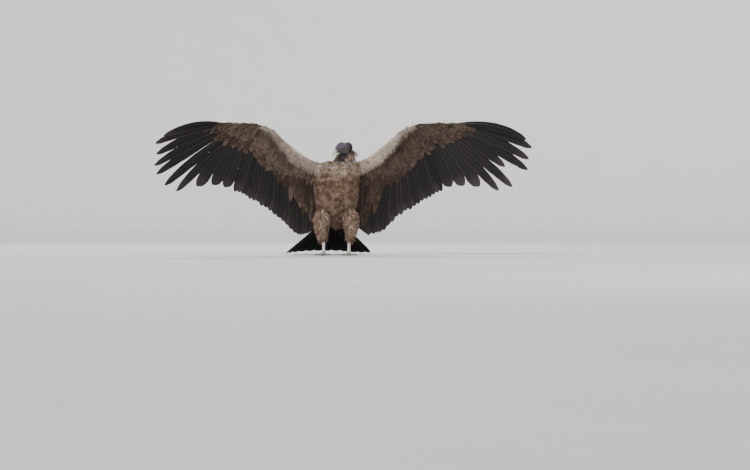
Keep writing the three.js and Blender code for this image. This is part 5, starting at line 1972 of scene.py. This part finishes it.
class CONDOR_OT_bill(bpy.types.Operator):
    """Makes both halves of the bill"""

    bl_idname = "condor.bill"
    bl_label = "Bill"

    def execute(self, context):
        return run(context, build_bill)


class CONDOR_OT_eyes(bpy.types.Operator):
    """Makes both eyes"""

    bl_idname = "condor.eyes"
    bl_label = "Eyes"

    def execute(self, context):
        return run(context, build_eyes)


class CONDOR_OT_legs(bpy.types.Operator):
    """Makes the scaled shanks and toes with their claws"""

    bl_idname = "condor.legs"
    bl_label = "Legs and claws"

    def execute(self, context):
        return run(context, build_legs)


class CONDOR_OT_flight_feathers(bpy.types.Operator):
    """Makes the flight feathers of both wings"""

    bl_idname = "condor.flight_feathers"
    bl_label = "Flight feathers"

    def execute(self, context):
        return run(context, build_flight_feathers)


class CONDOR_OT_tail(bpy.types.Operator):
    """Makes the tail's fan and the coverts over its base"""

    bl_idname = "condor.tail"
    bl_label = "Tail"

    def execute(self, context):
        return run(context, build_tail)


class CONDOR_OT_wing_coverts(bpy.types.Operator):
    """Makes the large and small coverts of both wings"""

    bl_idname = "condor.wing_coverts"
    bl_label = "Wing coverts"

    def execute(self, context):
        return run(context, build_wing_coverts)


class CONDOR_OT_body_feathers(bpy.types.Operator):
    """Makes the feathers of the breast, back and thighs"""

    bl_idname = "condor.body_feathers"
    bl_label = "Body feathers"

    def execute(self, context):
        return run(context, build_body_feathers)


class CONDOR_OT_ruff(bpy.types.Operator):
    """Makes the downy ruff round the neck"""

    bl_idname = "condor.ruff"
    bl_label = "Ruff"

    def execute(self, context):
        return run(context, build_ruff)


class CONDOR_OT_stage(bpy.types.Operator):
    """Makes the floor, the lights and the camera"""

    bl_idname = "condor.stage"
    bl_label = "Stage"

    def execute(self, context):
        build_stage(context.scene.condor_colours)
        return {"FINISHED"}


STEPS = (
    CONDOR_OT_skin, CONDOR_OT_bristles, CONDOR_OT_bill, CONDOR_OT_eyes, CONDOR_OT_legs,
    CONDOR_OT_flight_feathers, CONDOR_OT_tail, CONDOR_OT_wing_coverts, CONDOR_OT_body_feathers,
    CONDOR_OT_ruff, CONDOR_OT_stage,
)


class CONDOR_PT_panel(bpy.types.Panel):
    """Sizes, colours and the steps that build the bird"""

    bl_idname = "CONDOR_PT_panel"
    bl_label = "Andean Condor"
    bl_space_type = "VIEW_3D"
    bl_region_type = "UI"
    bl_category = "Condor"

    def draw(self, context):
        for step_class in STEPS:
            self.layout.operator(step_class.bl_idname)
        for group in (context.scene.condor_sizes, context.scene.condor_colours):
            box = self.layout.box()
            for key in group.bl_rna.properties.keys():
                if key not in ("rna_type", "name"):
                    box.prop(group, key)


CLASSES = (CondorSizes, CondorColours) + STEPS + (CONDOR_PT_panel,)


def register():
    for cls in CLASSES:
        bpy.utils.register_class(cls)
    bpy.types.Scene.condor_sizes = PointerProperty(type=CondorSizes)
    bpy.types.Scene.condor_colours = PointerProperty(type=CondorColours)


def unregister():
    del bpy.types.Scene.condor_sizes
    del bpy.types.Scene.condor_colours
    for cls in reversed(CLASSES):
        bpy.utils.unregister_class(cls)


def main():
    register()
    for step_class in STEPS:
        family, name = step_class.bl_idname.split(".")
        getattr(getattr(bpy.ops, family), name)()


if __name__ == "__main__":
    main()
